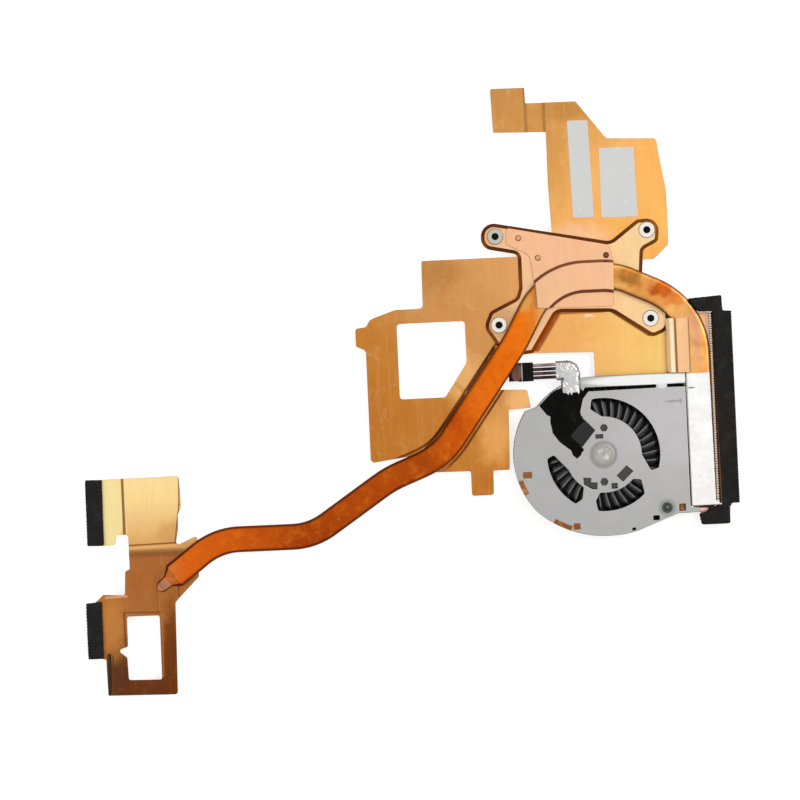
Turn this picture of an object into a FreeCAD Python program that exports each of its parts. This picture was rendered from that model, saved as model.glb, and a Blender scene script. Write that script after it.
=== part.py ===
import FreeCAD, Part
import math
import os
from FreeCAD import Vector

# A laptop's cooling assembly lying face up: copper spreader sheets and a flat heat pipe join a
# processor plate, a far chip bracket and a slim radial fan that blows through a stack of fins.
# Millimetres. The origin is the middle of the processor's contact face, and the part stands on
# z = 0. +X points to the exhaust, +Y to the labelled sheet, +Z up from the board.

# Processor station
BUSH_SPAN_X = 54.7       # between the mounting bushes
BUSH_SPAN_Y = 31.9
BUSH_BORE_R = 1.3
BUSH_BODY_R = 2.1
BUSH_FLANGE_R = 3.0
BUSH_FLANGE_T = 0.45
BUSH_DROP = 1.0          # below the plate
FIT_GAP = 0.05           # between a pressed piece and its hole
BLOCK_X = 19.0           # contact block
BLOCK_Y = 16.0
BLOCK_H = 2.6
BASE_T = 1.0
BASE_RIM_W = 1.3         # sloping rim of the plate, across and down
BASE_RIM_H = 0.85
SHEET_T = 0.4            # spreader sheets
RIDGE_EDGE = 0.5         # the raised bed beyond each side of the pipe
RIDGE_SLOPE = 1.2
SADDLE_T = 0.4
ARCH_FOOT = 0.9          # how far the saddle's skin stands off the pipe at its foot
ARCH_TOP = 0.3           # and how far in from the pipe's width it starts at the top
RIVET_HEAD_R = 1.1
RIVET_SHANK_R = 0.6

# Heat pipe, a round tube pressed flat, as corner points and bend radii
PIPE_W = 9.4
PIPE_H = 2.8
FLAP_REACH = 2.1         # of the duct sheet's flap over the pipe's flank
FIN_RUN_X = 43.3         # the run over the fins
PIPE_END_Y = -84.0
PIPE_PATH = [(-148.0, -100.8, 0), (-132.2, -88.75, 23), (-97.9, -88.75, 23), (-69.1, -69.5, 42),
             (-50.3, -62.3, 27), (-22.1, -23.0, 60), (-9.4, 0.1, 22.5), (15.3, 0.1, 22.5),
             (FIN_RUN_X, -12.9, 25.5), (FIN_RUN_X, PIPE_END_Y, 0)]
TIP_LENGTH = 3.2         # pinched and soldered end at the far chip
STUB_LENGTH = 3.6
TIP_SHORT = 0.9          # and at the end of the fins
STUB_SHORT = 1.0
NUB_LENGTH = 0.9
TIP_W = 4.6
TIP_H = 1.3

# Fan
HUB_X = 8.1
HUB_Y = -64.2
TRAY_T = 0.5             # floor of the drawn copper tray
TRAY_WALL = 0.6
COVER_T = 0.4
COVER_EDGE_R = 0.25      # rolled edge
BEAD_H = 0.15            # pressed rings on the cover
OUTLET_X = 38.6          # where the tray opens towards the fins
OUTLET_TOP_Y = -41.2
OUTLET_END_Y = -84.2
FAN_TOP_Y = -36.0
INLET_OUT_R = 20.35
INLET_IN_R = 13.7
INLET_CORNER_R = 0.9
SLIT_Y = -40.4
SLIT_W = 1.2
ROTOR_GAP = 0.6          # above the floor
BLADE_TOP_GAP = 0.8      # below the cover
BLADE_COUNT = 37
BLADE_OUT_R = 25.5
BLADE_T = 0.5
BLADE_LEAN = 1.7         # how far a vane's upper edge stands ahead of its lower edge
BLADE_SWEEP = 17.0       # degrees that a blade's tip trails its root
HUB_R = 9.3
HUB_WALL = 0.6
CUP_T = 0.4
MAGNET_T = 1.0
MAGNET_H = 2.7
AIR_GAP = 0.3            # between the magnet and the stator
POLE_W = 1.4
SHOE_T = 0.8
SLOT_W = 1.0             # between the poles' shoes
COIL_W = 2.5
SHAFT_R = 0.75
SHAFT_RUN = 0.04         # running clearance in the sleeve
SLEEVE_R = 1.9
TUBE_R = 2.5
STATOR_H = 1.6
POLE_COUNT = 6
BOARD_R = 12.6
BOARD_T = 0.4
HUB_CAP_R = 4.2
HUB_RING_R = 4.9
INLETS = (  # angles about the hub of the outer edge and the inner edge, then each end's corner (angle, radius)
    ((-16, 100), (-2, 90), (-21, 18.0), (104, 17.0)),
    ((182, 238), (202, 236), (178, 18.0), (242, 17.6)),
    ((262, 314), (262, 318), (258, 17.0), (324, 16.2)))
BOARD_WINDOWS = (        # openings of the cover over the motor's board
    [(5.4, -58.4), (8.2, -58.4), (8.2, -56.8), (5.4, -56.8)],
    [(10.4, -76.6), (12.6, -76.6), (12.6, -74.6), (10.4, -74.6)],
    [(0.4, -72.2), (3.2, -72.4), (3.1, -74.0), (5.4, -74.1), (5.3, -76.6), (3.4, -76.4), (0.5, -74.6)],
    [(16.1, -68.4), (18.5, -70.6), (14.6, -74.3), (12.4, -72.0)],
    [(24.9, -88.6), (27.2, -88.6), (27.2, -86.9), (24.9, -86.9)],
    [(17.2, -92.0), (18.5, -91.8), (18.5, -90.9), (17.2, -91.0)])
BOARD_STUDS = ((8.6, -54.6, 1.45), (7.9, -74.0, 1.5))
SCREW_X = 30.1
SCREW_Y = -84.3
SCREW_R = 1.9
SCREW_HEAD_H = 0.6
SCREW_SHANK_R = 1.14
CRIMPS = ((200.0, 5.4), (237.5, 6.6))  # folded rim tabs: angle about the hub, and length
CRIMP_T = 0.3
CRIMP_FOLD = 1.7

# Fin stack
FIN_PITCH = 0.9
FIN_T = 0.22
FIN_START_Y = -14.6
FIN_END_Y = -83.6
FIN_BACK_X = 41.4
FIN_FRONT_X = 56.2
FIN_COMB = 1.5           # width of the open comb beside the pipe
FIN_COMB_T = 0.5         # folded tabs of the webs there
FRONT_COMB = 0.7         # open ends of the webs at the outlet
PIPE_FIN_GAP = 0.2
TAPE_T = 0.1
FOAM_T = 1.5
FOAM_BACK_X = 49.4

# Far chip bracket
CHIP_SHEET_T = 0.6
CHIP_STEP = 0.8          # how far its wings lie below the pipe's seat
CHIP_BLOCK = (-152.0, -98.0, 13.0, 12.0)
CHIP_CHANNEL = [(-147.5, -92.6, 0), (-153.7, -99.3, 4), (-155.4, -104.6, 4), (-155.4, -114.6, 0)]
CHIP_CREASES = (-163.9, -155.9, -154.5)
BEAD_W = 1.0
PAD_H = 1.8

# Plug and lead
LEAD_Y = -33.3           # middle of the lead where it leaves the plug
LEAD_X = -2.6            # and where it runs down to the fan
PLUG_T = 2.1
PLUG_BACK_X = -21.4
PLUG_FRONT_X = -15.8
PLUG_HALF = 3.4
WIRE_COUNT = 4
WIRE_R = 0.6
WIRE_PITCH = 1.5
FLEX_T = 0.15

BUSH_X = BUSH_SPAN_X / 2
BUSH_Y = BUSH_SPAN_Y / 2
BASE_Z = BLOCK_H
SHEET_Z = BASE_Z - SHEET_T
SEAT_Z = BASE_Z + BASE_T             # underside of the pipe
PIPE_TOP = SEAT_Z + PIPE_H
COVER_Z = PIPE_TOP - COVER_T
RIDGE_H = SEAT_Z - SHEET_Z
UP = Vector(0, 0, 1)


# Plane geometry


def corners(points, closed=True, z=0.0):
    """A wire through (x, y) or (x, y, radius) corners, with a tangent arc where a radius is given."""
    pts = [Vector(p[0], p[1], p[3] if len(p) > 3 else z) for p in points]
    radii = [p[2] if len(p) > 2 else 0 for p in points]
    edges, last, first = [], None, None
    count = len(pts)
    for i, point in enumerate(pts):
        ends = not closed and i in (0, count - 1)
        if ends or radii[i] <= 0:
            entry = leave = point
            arc = None
        else:
            back = (pts[i - 1] - point).normalize()
            ahead = (pts[(i + 1) % count] - point).normalize()
            half = back.getAngle(ahead) / 2
            reach = radii[i] / math.tan(half)
            entry, leave = point + back * reach, point + ahead * reach
            bisector = (back + ahead).normalize()
            middle = point + bisector * (radii[i] / math.sin(half) - radii[i])
            arc = Part.Arc(entry, middle, leave).toShape()
        if last is not None and last.distanceToPoint(entry) > 1e-6:
            edges.append(Part.LineSegment(last, entry).toShape())
        if arc:
            edges.append(arc)
        first = entry if first is None else first
        last = leave
    if closed and last.distanceToPoint(first) > 1e-6:
        edges.append(Part.LineSegment(last, first).toShape())
    return Part.Wire(edges)


def prism(wire, bottom, height):
    solid = Part.Face(wire).extrude(UP * height)
    solid.translate(UP * bottom)
    return solid


def plate(points, bottom, height):
    return prism(corners(points), bottom, height)


def box(x0, y0, z0, x1, y1, z1):
    return Part.makeBox(x1 - x0, y1 - y0, z1 - z0, Vector(x0, y0, z0))


def disc(x, y, radius, bottom, height):
    return Part.makeCylinder(radius, height, Vector(x, y, bottom))


def hexagon(x, y, radius):
    return [(x + radius * math.cos(math.tau * k / 6), y + radius * math.sin(math.tau * k / 6)) for k in range(6)]


def ring(x, y, outer, inner, bottom, height):
    return disc(x, y, outer, bottom, height).cut(disc(x, y, inner, bottom, height))


def fuse(solids):
    return solids[0].multiFuse(solids[1:]).removeSplitter() if len(solids) > 1 else solids[0]


def side_of(path, offset):
    """The path's corners moved sideways, left for a positive offset, with their radii to match."""
    moved = []
    for i, (x, y, r) in enumerate(path):
        here = Vector(x, y)
        back = here - Vector(*path[i - 1][:2]) if i else Vector(*path[1][:2]) - here
        ahead = Vector(*path[i + 1][:2]) - here if i < len(path) - 1 else back
        back.normalize()
        ahead.normalize()
        turn = back.cross(ahead).z
        left = Vector(-back.y - ahead.y, back.x + ahead.x).normalize()
        stretch = 1 / max(0.2, left.dot(Vector(-back.y, back.x)))
        spot = here + left * (offset * stretch)
        inside = 0 < i < len(path) - 1
        moved.append((spot.x, spot.y, max(0.3, r - offset * (1 if turn > 0 else -1)) if inside else 0))
    return moved


def ribbon(path, half, bottom, height):
    """A band of even width that follows the path."""
    return plate(side_of(path, half) + side_of(path, -half)[::-1], bottom, height)


def tapered(path, low, high, bottom, height):
    """A band along the path whose half width changes evenly from low to high on the way up."""
    wires = []
    for half, z in ((low, bottom), (high, bottom + height)):
        wires.append(corners(side_of(path, half) + side_of(path, -half)[::-1], z=z))
    return Part.makeLoft(wires, True, True)


def folded(outline, profile, axis):
    """A sheet of the outline's shape that steps up and down along x or y, as the profile says.

    The profile lists (distance, underside, top) stations; between them the sheet slopes."""
    under = [(a, low) for a, low, high in profile]
    over = [(a, high) for a, low, high in profile][::-1]
    across = [point[1 if axis == "x" else 0] for point in outline]
    start, width = min(across) - 1, max(across) - min(across) + 2
    section = [Vector(a, start, z) if axis == "x" else Vector(start, a, z) for a, z in under + over]
    strip = Part.Face(Part.makePolygon(section + section[:1]))
    strip = strip.extrude(Vector(0, width, 0) if axis == "x" else Vector(width, 0, 0))
    return plate(outline, 0, PIPE_TOP * 2).common(strip)


def steps(stations, thickness):
    return [(a, z, z + thickness) for a, z in stations]


# Heat pipe


def flat_tube(width, height, lift=0.0):
    """The pipe's section in the y-z plane, a slot with round flanks, about its own middle."""
    flat, r = width / 2 - height / 2, height / 2
    spots = [Vector(0, -flat, lift - r), Vector(0, flat, lift - r), Vector(0, flat + r, lift),
             Vector(0, flat, lift + r), Vector(0, -flat, lift + r), Vector(0, -flat - r, lift)]
    return Part.Wire([Part.LineSegment(spots[0], spots[1]).toShape(),
                      Part.Arc(spots[1], spots[2], spots[3]).toShape(),
                      Part.LineSegment(spots[3], spots[4]).toShape(),
                      Part.Arc(spots[4], spots[5], spots[0]).toShape()])


def placed(wire, spot, along):
    angle = math.degrees(math.atan2(along.y, along.x))
    moved = wire.copy()
    moved.rotate(Vector(0, 0, 0), UP, angle)
    moved.translate(spot)
    return moved


def pinched(spot, along, length, stub):
    """A pressed end: the pipe narrows to a flat stub with a blunt nub that lies on its seat."""
    low = (TIP_H - PIPE_H) / 2
    stations = [(0, PIPE_W, PIPE_H, 0), (length, TIP_W, TIP_H, low), (length + stub, TIP_W * 0.85, TIP_H, low),
                (length + stub + NUB_LENGTH, TIP_W * 0.45, TIP_H * 0.7, low)]
    rings = [placed(flat_tube(wide, high, lift), spot + along * reach, along)
             for reach, wide, high, lift in stations]
    return [Part.makeLoft([rings[i], rings[i + 1]], True) for i in range(len(rings) - 1)]


def heat_pipe():
    middle = SEAT_Z + PIPE_H / 2
    spine = corners(PIPE_PATH, closed=False, z=middle)
    start, second = (Vector(*PIPE_PATH[i][:2], middle) for i in (0, 1))
    sweep = Part.BRepOffsetAPI.MakePipeShell(spine)
    sweep.setBiNormalMode(UP)
    sweep.add(placed(flat_tube(PIPE_W, PIPE_H), start, (second - start).normalize()))
    sweep.build()
    sweep.makeSolid()
    tail = Vector(FIN_RUN_X, PIPE_END_Y, middle)
    solids = pinched(start, (start - second).normalize(), TIP_LENGTH, STUB_LENGTH)
    return fuse([sweep.shape()] + solids + pinched(tail, Vector(0, -1, 0), TIP_SHORT, STUB_SHORT))


# Processor station


def bush_spots():
    return [(sx * BUSH_X, sy * BUSH_Y) for sx in (-1, 1) for sy in (-1, 1)]


def bush_clearances():
    return Part.makeCompound([disc(x, y, BUSH_BODY_R + SHEET_T, 0, PIPE_TOP) for x, y in bush_spots()])


def rivet_spots():
    return [(12.3, 7.5), (-12.3, 7.6), (-19.0, 15.0)]


def base_outline():
    """Four arms, round the bushes, and a tongue under the long run of the pipe."""
    x, y = BUSH_X, BUSH_Y
    return [(-x - 4.9, y + 5.7, 4.6), (14.0, 12.4, 4), (x - 3.4, y + 3.9, 3), (x + 4.9, y + 4.3, 4.4),
            (x + 3.9, y - 4.3, 2.4), (x - 1.6, y - 7.0, 2), (x - 2.4, -1.0, 0), (x + 6.6, -y + 3.6, 2),
            (x + 6.6, -y - 4.4, 4.6), (x + 0.4, -y - 6.8, 3), (13.6, -13.0, 5), (-6.3, -12.3, 3),
            (-15.4, -26.6, 0), (-25.6, -27.6, 0), (-x - 5.4, -y - 0.6, 4.2), (-x - 3.0, -y + 5.0, 3),
            (-20.6, -6.4, 2.4), (-19.5, -3.0, 1), (-19.5, 9.2, 2), (-x - 5.2, y - 4.0, 4.2)]


def cpu_base_plate():
    solid = plate(base_outline(), BASE_Z, BASE_T)
    top = [e for e in solid.Edges if e.BoundBox.ZMin > SEAT_Z - 0.01]
    solid = solid.makeChamfer(BASE_RIM_H, BASE_RIM_W, top)
    holes = [disc(x, y, BUSH_BODY_R + FIT_GAP, BASE_Z, BASE_T) for x, y in bush_spots()]
    holes += [disc(x, y, RIVET_SHANK_R + FIT_GAP, BASE_Z, BASE_T) for x, y in rivet_spots()]
    return solid.cut(Part.makeCompound(holes))


def mounting_bushes():
    """Flanged steel bushes, one to each arm, that the spring screws pass through."""
    bushes = []
    for x, y in bush_spots():
        body = disc(x, y, BUSH_BODY_R, BASE_Z - BUSH_DROP, BASE_T + BUSH_DROP)
        flange = Part.makeCone(BUSH_FLANGE_R, BUSH_FLANGE_R - 0.3, BUSH_FLANGE_T, Vector(x, y, SEAT_Z))
        bore = disc(x, y, BUSH_BORE_R, 0, PIPE_TOP)
        bushes.append(fuse([body, flange]).cut(bore))
    return Part.makeCompound(bushes)


def saddle_arch(skin):
    """The room round the pipe below the saddle's skin, or with a skin's thickness added."""
    foot, top = PIPE_W / 2 + ARCH_FOOT, PIPE_W / 2 - ARCH_TOP
    return tapered(PIPE_PATH[4:9], foot + skin, top + skin, SEAT_Z, PIPE_H + FIT_GAP + skin)


def pipe_saddle():
    """A pressed clip: it lies on the plate and rises over the pipe, with a sloping shoulder on each side."""
    outline = [(-23.2, 18.9, 1), (13.4, 11.2, 1.2), (14.8, 5.2, 4), (14.2, -11.0, 1), (-13.9, -10.6, 1),
               (-14.1, -0.3, 3), (-15.2, 8.6, 3), (-23.6, 13.0, 1)]
    lying = plate(outline, SEAT_Z, SADDLE_T)
    arch = saddle_arch(SADDLE_T).common(plate(outline, SEAT_Z, PIPE_H * 2))
    holes = [disc(x, y, RIVET_SHANK_R + FIT_GAP, SEAT_Z, SADDLE_T) for x, y in rivet_spots()]
    holes += [disc(x, y, BUSH_FLANGE_R + FIT_GAP, SEAT_Z, SADDLE_T) for x, y in bush_spots()]
    return fuse([lying, arch]).cut(saddle_arch(0)).cut(Part.makeCompound(holes))


def saddle_rivets():
    rivets = []
    for x, y in rivet_spots():
        shank = disc(x, y, RIVET_SHANK_R, BASE_Z, BASE_T + SADDLE_T)
        cap = Part.makeCone(RIVET_HEAD_R, RIVET_HEAD_R * 0.6, SADDLE_T, Vector(x, y, SEAT_Z + SADDLE_T))
        rivets.append(fuse([shank, cap]))
    return Part.makeCompound(rivets)


def cpu_contact_block():
    half_x, half_y = BLOCK_X / 2, BLOCK_Y / 2
    solid = box(-half_x, -half_y, 0, half_x, half_y, BLOCK_H)
    upright = [e for e in solid.Edges if e.BoundBox.ZLength > BLOCK_H - 0.01]
    return solid.makeFillet(1.0, upright)


# Spreader sheets


def label_plate():
    """The labelled sheet, with a foot at its upper left that steps down to the board."""
    outline = [(-26.7, 69.3, 0.6), (-14.4, 69.2, 0.4), (-14.3, 63.5, 0.4), (3.8, 63.4, 0.6), (14.3, 49.6, 1),
               (32.2, 48.8, 1.2), (33.2, 41.0, 8), (35.0, 30.0, 20), (35.0, 10.4, 2.4), (29.6, 5.4, 1),
               (10.5, 5.4, 0), (10.5, 9.0, 1), (-6.6, 10.0, 1), (-7.4, 34.0, 30), (-7.3, 52.9, 0.4),
               (-26.3, 53.5, 0.6)]
    foot, neck = PAD_H / 2, (PAD_H / 2 + SHEET_Z) / 2
    levels = steps([(-200, foot), (-15.0, foot), (-13.8, neck), (-8.4, neck), (-7.2, SHEET_Z),
                    (200, SHEET_Z)], SHEET_T)
    return folded(outline, levels, "x").cut(bush_clearances())


def ridge(path, clip):
    """A raised bed with sloping sides, pressed up from a sheet so that the pipe lies on it."""
    top = PIPE_W / 2 + RIDGE_EDGE
    foot = top + RIDGE_SLOPE
    outer = tapered(path, foot, top, SHEET_Z, RIDGE_H)
    inner = tapered(path, foot - SHEET_T, top - SHEET_T, SHEET_Z, RIDGE_H - SHEET_T)
    return outer.cut(inner).common(clip), ribbon(path, foot - SHEET_T, SHEET_Z, SHEET_T)


def side_plate():
    """The sheet left of the processor, which crosses below the pipe to a second field."""
    outline = [(-54.3, 8.4, 0.6), (-17.6, 8.4, 0.3), (-17.6, -20.0, 2), (-21.9, -29.4, 0), (-28.8, -39.2, 0),
               (-18.2, -39.6, 1), (-17.2, -46.3, 0.6), (-25.2, -46.5, 0.6),
               (-25.8, -68.2, 0.6), (-31.7, -68.2, 0.4), (-31.9, -77.0, 0.8), (-39.8, -77.0, 0.8),
               (-39.8, -68.1, 0.8), (-54.0, -67.9, 1), (-60.4, -61.6, 0.5), (-75.7, -63.6, 1.4), (-75.7, -23.0, 1.6),
               (-79.2, -21.4, 1), (-79.2, -14.9, 1), (-75.2, -14.6, 1.5), (-73.8, -11.9, 3),
               (-64.5, -8.8, 4), (-54.5, -8.8, 1.4)]
    window = [(-64.2, -13.9, 1.2), (-39.6, -13.9, 1.2), (-39.6, -29.0, 3), (-47.8, -41.1, 1),
              (-64.2, -41.1, 1.2)]
    blank = plate(outline, SHEET_Z, SHEET_T)
    below_base = plate(base_outline(), SHEET_Z, RIDGE_H)
    raised, bed = ridge(PIPE_PATH[3:6], plate(outline, SHEET_Z, RIDGE_H))
    raised, bed = raised.cut(below_base), bed.cut(below_base)
    cuts = Part.makeCompound([plate(window, SHEET_Z - 1, RIDGE_H + 2), bush_clearances()])
    return fuse([blank.cut(bed), raised]).cut(cuts)


def duct_plate():
    """The sheet between the processor and the fan. Its corner steps up to carry the pipe's bend, and below
    that a flap climbs over the pipe's flank and lies on its top."""
    flank = FIN_RUN_X - PIPE_W / 2
    foot, top, over = flank - 6.2, flank - 4.0, PIPE_TOP + FIT_GAP
    outline = [(-8.6, -9.4, 0.4), (10.0, -9.4, 0.4), (24.0, -8.0, 1), (33.0, -5.4, 8), (40.9, -16.0, 0),
               (foot + 0.6, -16.0, 0), (foot + 0.6, FAN_TOP_Y, 0), (6.4, FAN_TOP_Y, 0), (6.4, -27.2, 0.6),
               (-15.9, -26.6, 0.3)]
    flap = [(foot, -21.8), (top, -21.8), (top, -16.2, 0.3), (flank + FLAP_REACH, -16.2, 0.3),
            (flank + FLAP_REACH, FAN_TOP_Y), (foot, FAN_TOP_Y)]
    corner = steps([(-200, SHEET_Z), (34.6, SHEET_Z), (36.4, SEAT_Z - SHEET_T), (200, SEAT_Z - SHEET_T)], SHEET_T)
    climb = steps([(-200, SHEET_Z), (foot, SHEET_Z), (top, over), (200, over)], SHEET_T)
    return fuse([folded(outline, corner, "x"), folded(flap, climb, "x")]).cut(bush_clearances())


def labels():
    """Two bare paper labels on the upper sheet."""
    z = SHEET_Z + SHEET_T
    tall = plate([(0.4, 56.6, 0.4), (7.8, 56.4, 0.4), (8.6, 21.5, 0.4), (1.1, 21.5, 0.4)], z, TAPE_T)
    wide = plate([(11.5, 46.2, 0.4), (24.0, 46.1, 0.4), (24.4, 21.0, 0.4), (11.3, 21.1, 0.4)], z, TAPE_T)
    return tall, wide


def foot_pad():
    return plate([(-25.8, 68.4, 0.3), (-16.0, 68.4, 0.3), (-16.0, 54.4, 0.3), (-25.8, 54.4, 0.3)], 0, PAD_H / 2)


# Fin stack


def fin_stack():
    """Zipped fins: each web carries a flange that reaches the next one, so the stack is one channelled
    block, low below the pipe and tall in front of it, with the webs left open as a comb beside the pipe."""
    count = int((FIN_START_Y - FIN_END_Y - FIN_T) / FIN_PITCH)
    step_x = FIN_RUN_X + PIPE_W / 2 + PIPE_FIN_GAP
    last = FIN_START_Y - count * FIN_PITCH - FIN_T

    def stack(x0, x1, top, lid, web=FIN_T):
        block = box(x0, last, TRAY_T, x1, FIN_START_Y, top)
        channels = []
        for i in range(count):
            y = FIN_START_Y - i * FIN_PITCH
            channels.append(box(x0, y - FIN_PITCH, TRAY_T + FIN_T, x1, y - web, top - lid))
        return block.cut(Part.makeCompound(channels))

    low = stack(FIN_BACK_X, step_x, SEAT_Z, FIN_T)
    comb = stack(step_x, step_x + FIN_COMB, COVER_Z, 0.0, FIN_COMB_T)
    tall = stack(step_x + FIN_COMB, FIN_FRONT_X - FRONT_COMB, COVER_Z, FIN_T)
    front = stack(FIN_FRONT_X - FRONT_COMB, FIN_FRONT_X, COVER_Z, 0.0)
    return fuse([low, comb, tall, front])


def outlet_foam():
    """A soft gasket: a strip along the top of the fins that turns down over both ends."""
    top = COVER_Z
    back = FOAM_BACK_X
    front = FIN_FRONT_X - 0.1
    strip = [(back, FIN_START_Y + 0.2), (front, FIN_START_Y + 0.2), (front, FIN_END_Y), (back + 0.3, FIN_END_Y)]
    upper = [(41.6, -9.5, 0.3), (53.0, -8.7, 0.6), (53.2, FIN_START_Y + 0.2), (45.2, FIN_START_Y + 0.2)]
    lower = [(48.5, FIN_END_Y - 0.6), (52.8, FIN_END_Y - 0.4), (52.6, -91.0, 0.8), (42.3, -91.0, 0.8),
             (41.8, -87.2, 0.3), (46.3, -87.1), (46.3, -85.2), (48.5, -85.0)]
    ends = [plate(upper, TRAY_T, top - TRAY_T + FOAM_T), plate(lower, TRAY_T, top - TRAY_T + FOAM_T)]
    bridge = box(back + 0.3, FIN_END_Y - 0.8, top, front - 2.8, FIN_END_Y + 0.5, top + FOAM_T)
    return fuse([plate(strip, top, FOAM_T), bridge] + ends)


def sealing_tape():
    """A foil strip that closes the gap between the fan cover and the fins, over the pipe."""
    left, right = OUTLET_X + 0.7, FIN_RUN_X + PIPE_W / 2 - 0.5
    return plate([(left, -36.4, 0.3), (right, -36.6, 0.3), (right + 0.3, -82.7, 0.2), (right + 1.5, -82.8, 0.3),
                  (right + 1.5, -84.0, 0.3), (left + 0.1, -83.7, 0.3)], PIPE_TOP, TAPE_T)


# Fan


def fan_outline():
    """The scroll: a flat top, a wide left side, and a lower edge that runs out to the outlet."""
    line, arc = Part.LineSegment, Part.Arc
    spots = {"start": (3.0, FAN_TOP_Y), "neck": (-15.2, -46.0), "nose": (-19.4, -47.4),
             "left": (-16.4, -84.0), "low": (11.0, -93.4), "ramp": (22.4, -90.9),
             "lip": (34.0, -86.5), "corner": (OUTLET_X, -86.5), "top": (OUTLET_X, FAN_TOP_Y)}
    at = {name: Vector(x, y) for name, (x, y) in spots.items()}
    parts = [arc(at["start"], Vector(-8.3, -39.9), at["neck"]), line(at["neck"], at["nose"]),
             arc(at["nose"], Vector(-24.3, -63.5), at["left"]), arc(at["left"], Vector(-3.6, -91.5), at["low"]),
             arc(at["low"], Vector(17.0, -92.7), at["ramp"]), line(at["ramp"], at["lip"]),
             line(at["lip"], at["corner"]), line(at["corner"], at["top"]), line(at["top"], at["start"])]
    return Part.Wire([p.toShape() for p in parts])


def tab_spots():
    """Rim tabs of the tray, folded up through the cover: centre, size along x and y."""
    return [(35.6, -84.4, 2.4, 2.6), (-19.6, -70.4, 3.2, 2.2), (-2.6, -89.6, 2.4, 2.2)]


def rim_band(width, bottom, height):
    """A band of even width along the inside of the fan's outline."""
    outline = fan_outline()
    hollow = Part.Face(outline).makeOffset2D(-width).extrude(UP * height)
    hollow.translate(UP * bottom)
    return prism(outline, bottom, height).cut(hollow)


def crimp_sectors(slack=0.0):
    """Blocks that reach out from the hub over the stretches of rim that are folded."""
    sectors = []
    for angle, length in CRIMPS:
        half = length / 2 + slack
        sector = box(0, -half, 0, 60, half, PIPE_TOP * 2)
        sector.rotate(Vector(0, 0, 0), UP, angle)
        sector.translate(Vector(HUB_X, HUB_Y, 0))
        sectors.append(sector)
    return Part.makeCompound(sectors)


def crimps():
    """Rim tabs that stand up beside the cover and are folded flat over it."""
    upright = rim_band(TRAY_WALL - FIT_GAP, COVER_Z - 1, COVER_T + 1)
    fold = rim_band(CRIMP_FOLD, PIPE_TOP, CRIMP_T)
    return upright.fuse(fold).common(crimp_sectors())


def fan_tray():
    """The drawn copper tray: floor, scroll wall, rim tabs, and a shelf that carries the fins."""
    floor = prism(fan_outline(), 0, TRAY_T)
    wall = rim_band(TRAY_WALL, TRAY_T, COVER_Z - TRAY_T)
    mouth = box(OUTLET_X - 2 * TRAY_WALL, OUTLET_END_Y, TRAY_T, OUTLET_X + 1, OUTLET_TOP_Y, COVER_Z)
    shelf = box(OUTLET_X, FIN_END_Y, 0, FIN_FRONT_X - 2.0, OUTLET_TOP_Y, TRAY_T)
    tabs = [box(x - w / 2 + FIT_GAP, y - d / 2 + FIT_GAP, TRAY_T, x + w / 2 - FIT_GAP, y + d / 2 - FIT_GAP,
                PIPE_TOP) for x, y, w, d in tab_spots()]
    return fuse([floor, wall.cut(mouth), shelf] + tabs + crimps().Solids)


def inlet(outer, inner, lead, tail):
    """A curved opening between two circles about the hub, with slanting ends."""
    outer_from, outer_to = outer
    inner_from, inner_to = inner

    def at(angle, radius):
        a = math.radians(angle)
        return Vector(HUB_X + radius * math.cos(a), HUB_Y + radius * math.sin(a))

    outer_mid, inner_mid = (outer_from + outer_to) / 2, (inner_from + inner_to) / 2
    ends = [at(inner_from, INLET_IN_R), at(*lead), at(outer_from, INLET_OUT_R)]
    back = [at(outer_to, INLET_OUT_R), at(*tail), at(inner_to, INLET_IN_R)]
    wire = Part.Wire([
        Part.LineSegment(ends[0], ends[1]).toShape(), Part.LineSegment(ends[1], ends[2]).toShape(),
        Part.Arc(ends[2], at(outer_mid, INLET_OUT_R), back[0]).toShape(),
        Part.LineSegment(back[0], back[1]).toShape(), Part.LineSegment(back[1], back[2]).toShape(),
        Part.Arc(back[2], at(inner_mid, INLET_IN_R), ends[0]).toShape()])
    cutter = prism(wire, COVER_Z - 1, COVER_T + 2)
    return cutter.makeFillet(INLET_CORNER_R, [e for e in cutter.Edges if e.BoundBox.ZLength > COVER_T])


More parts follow.
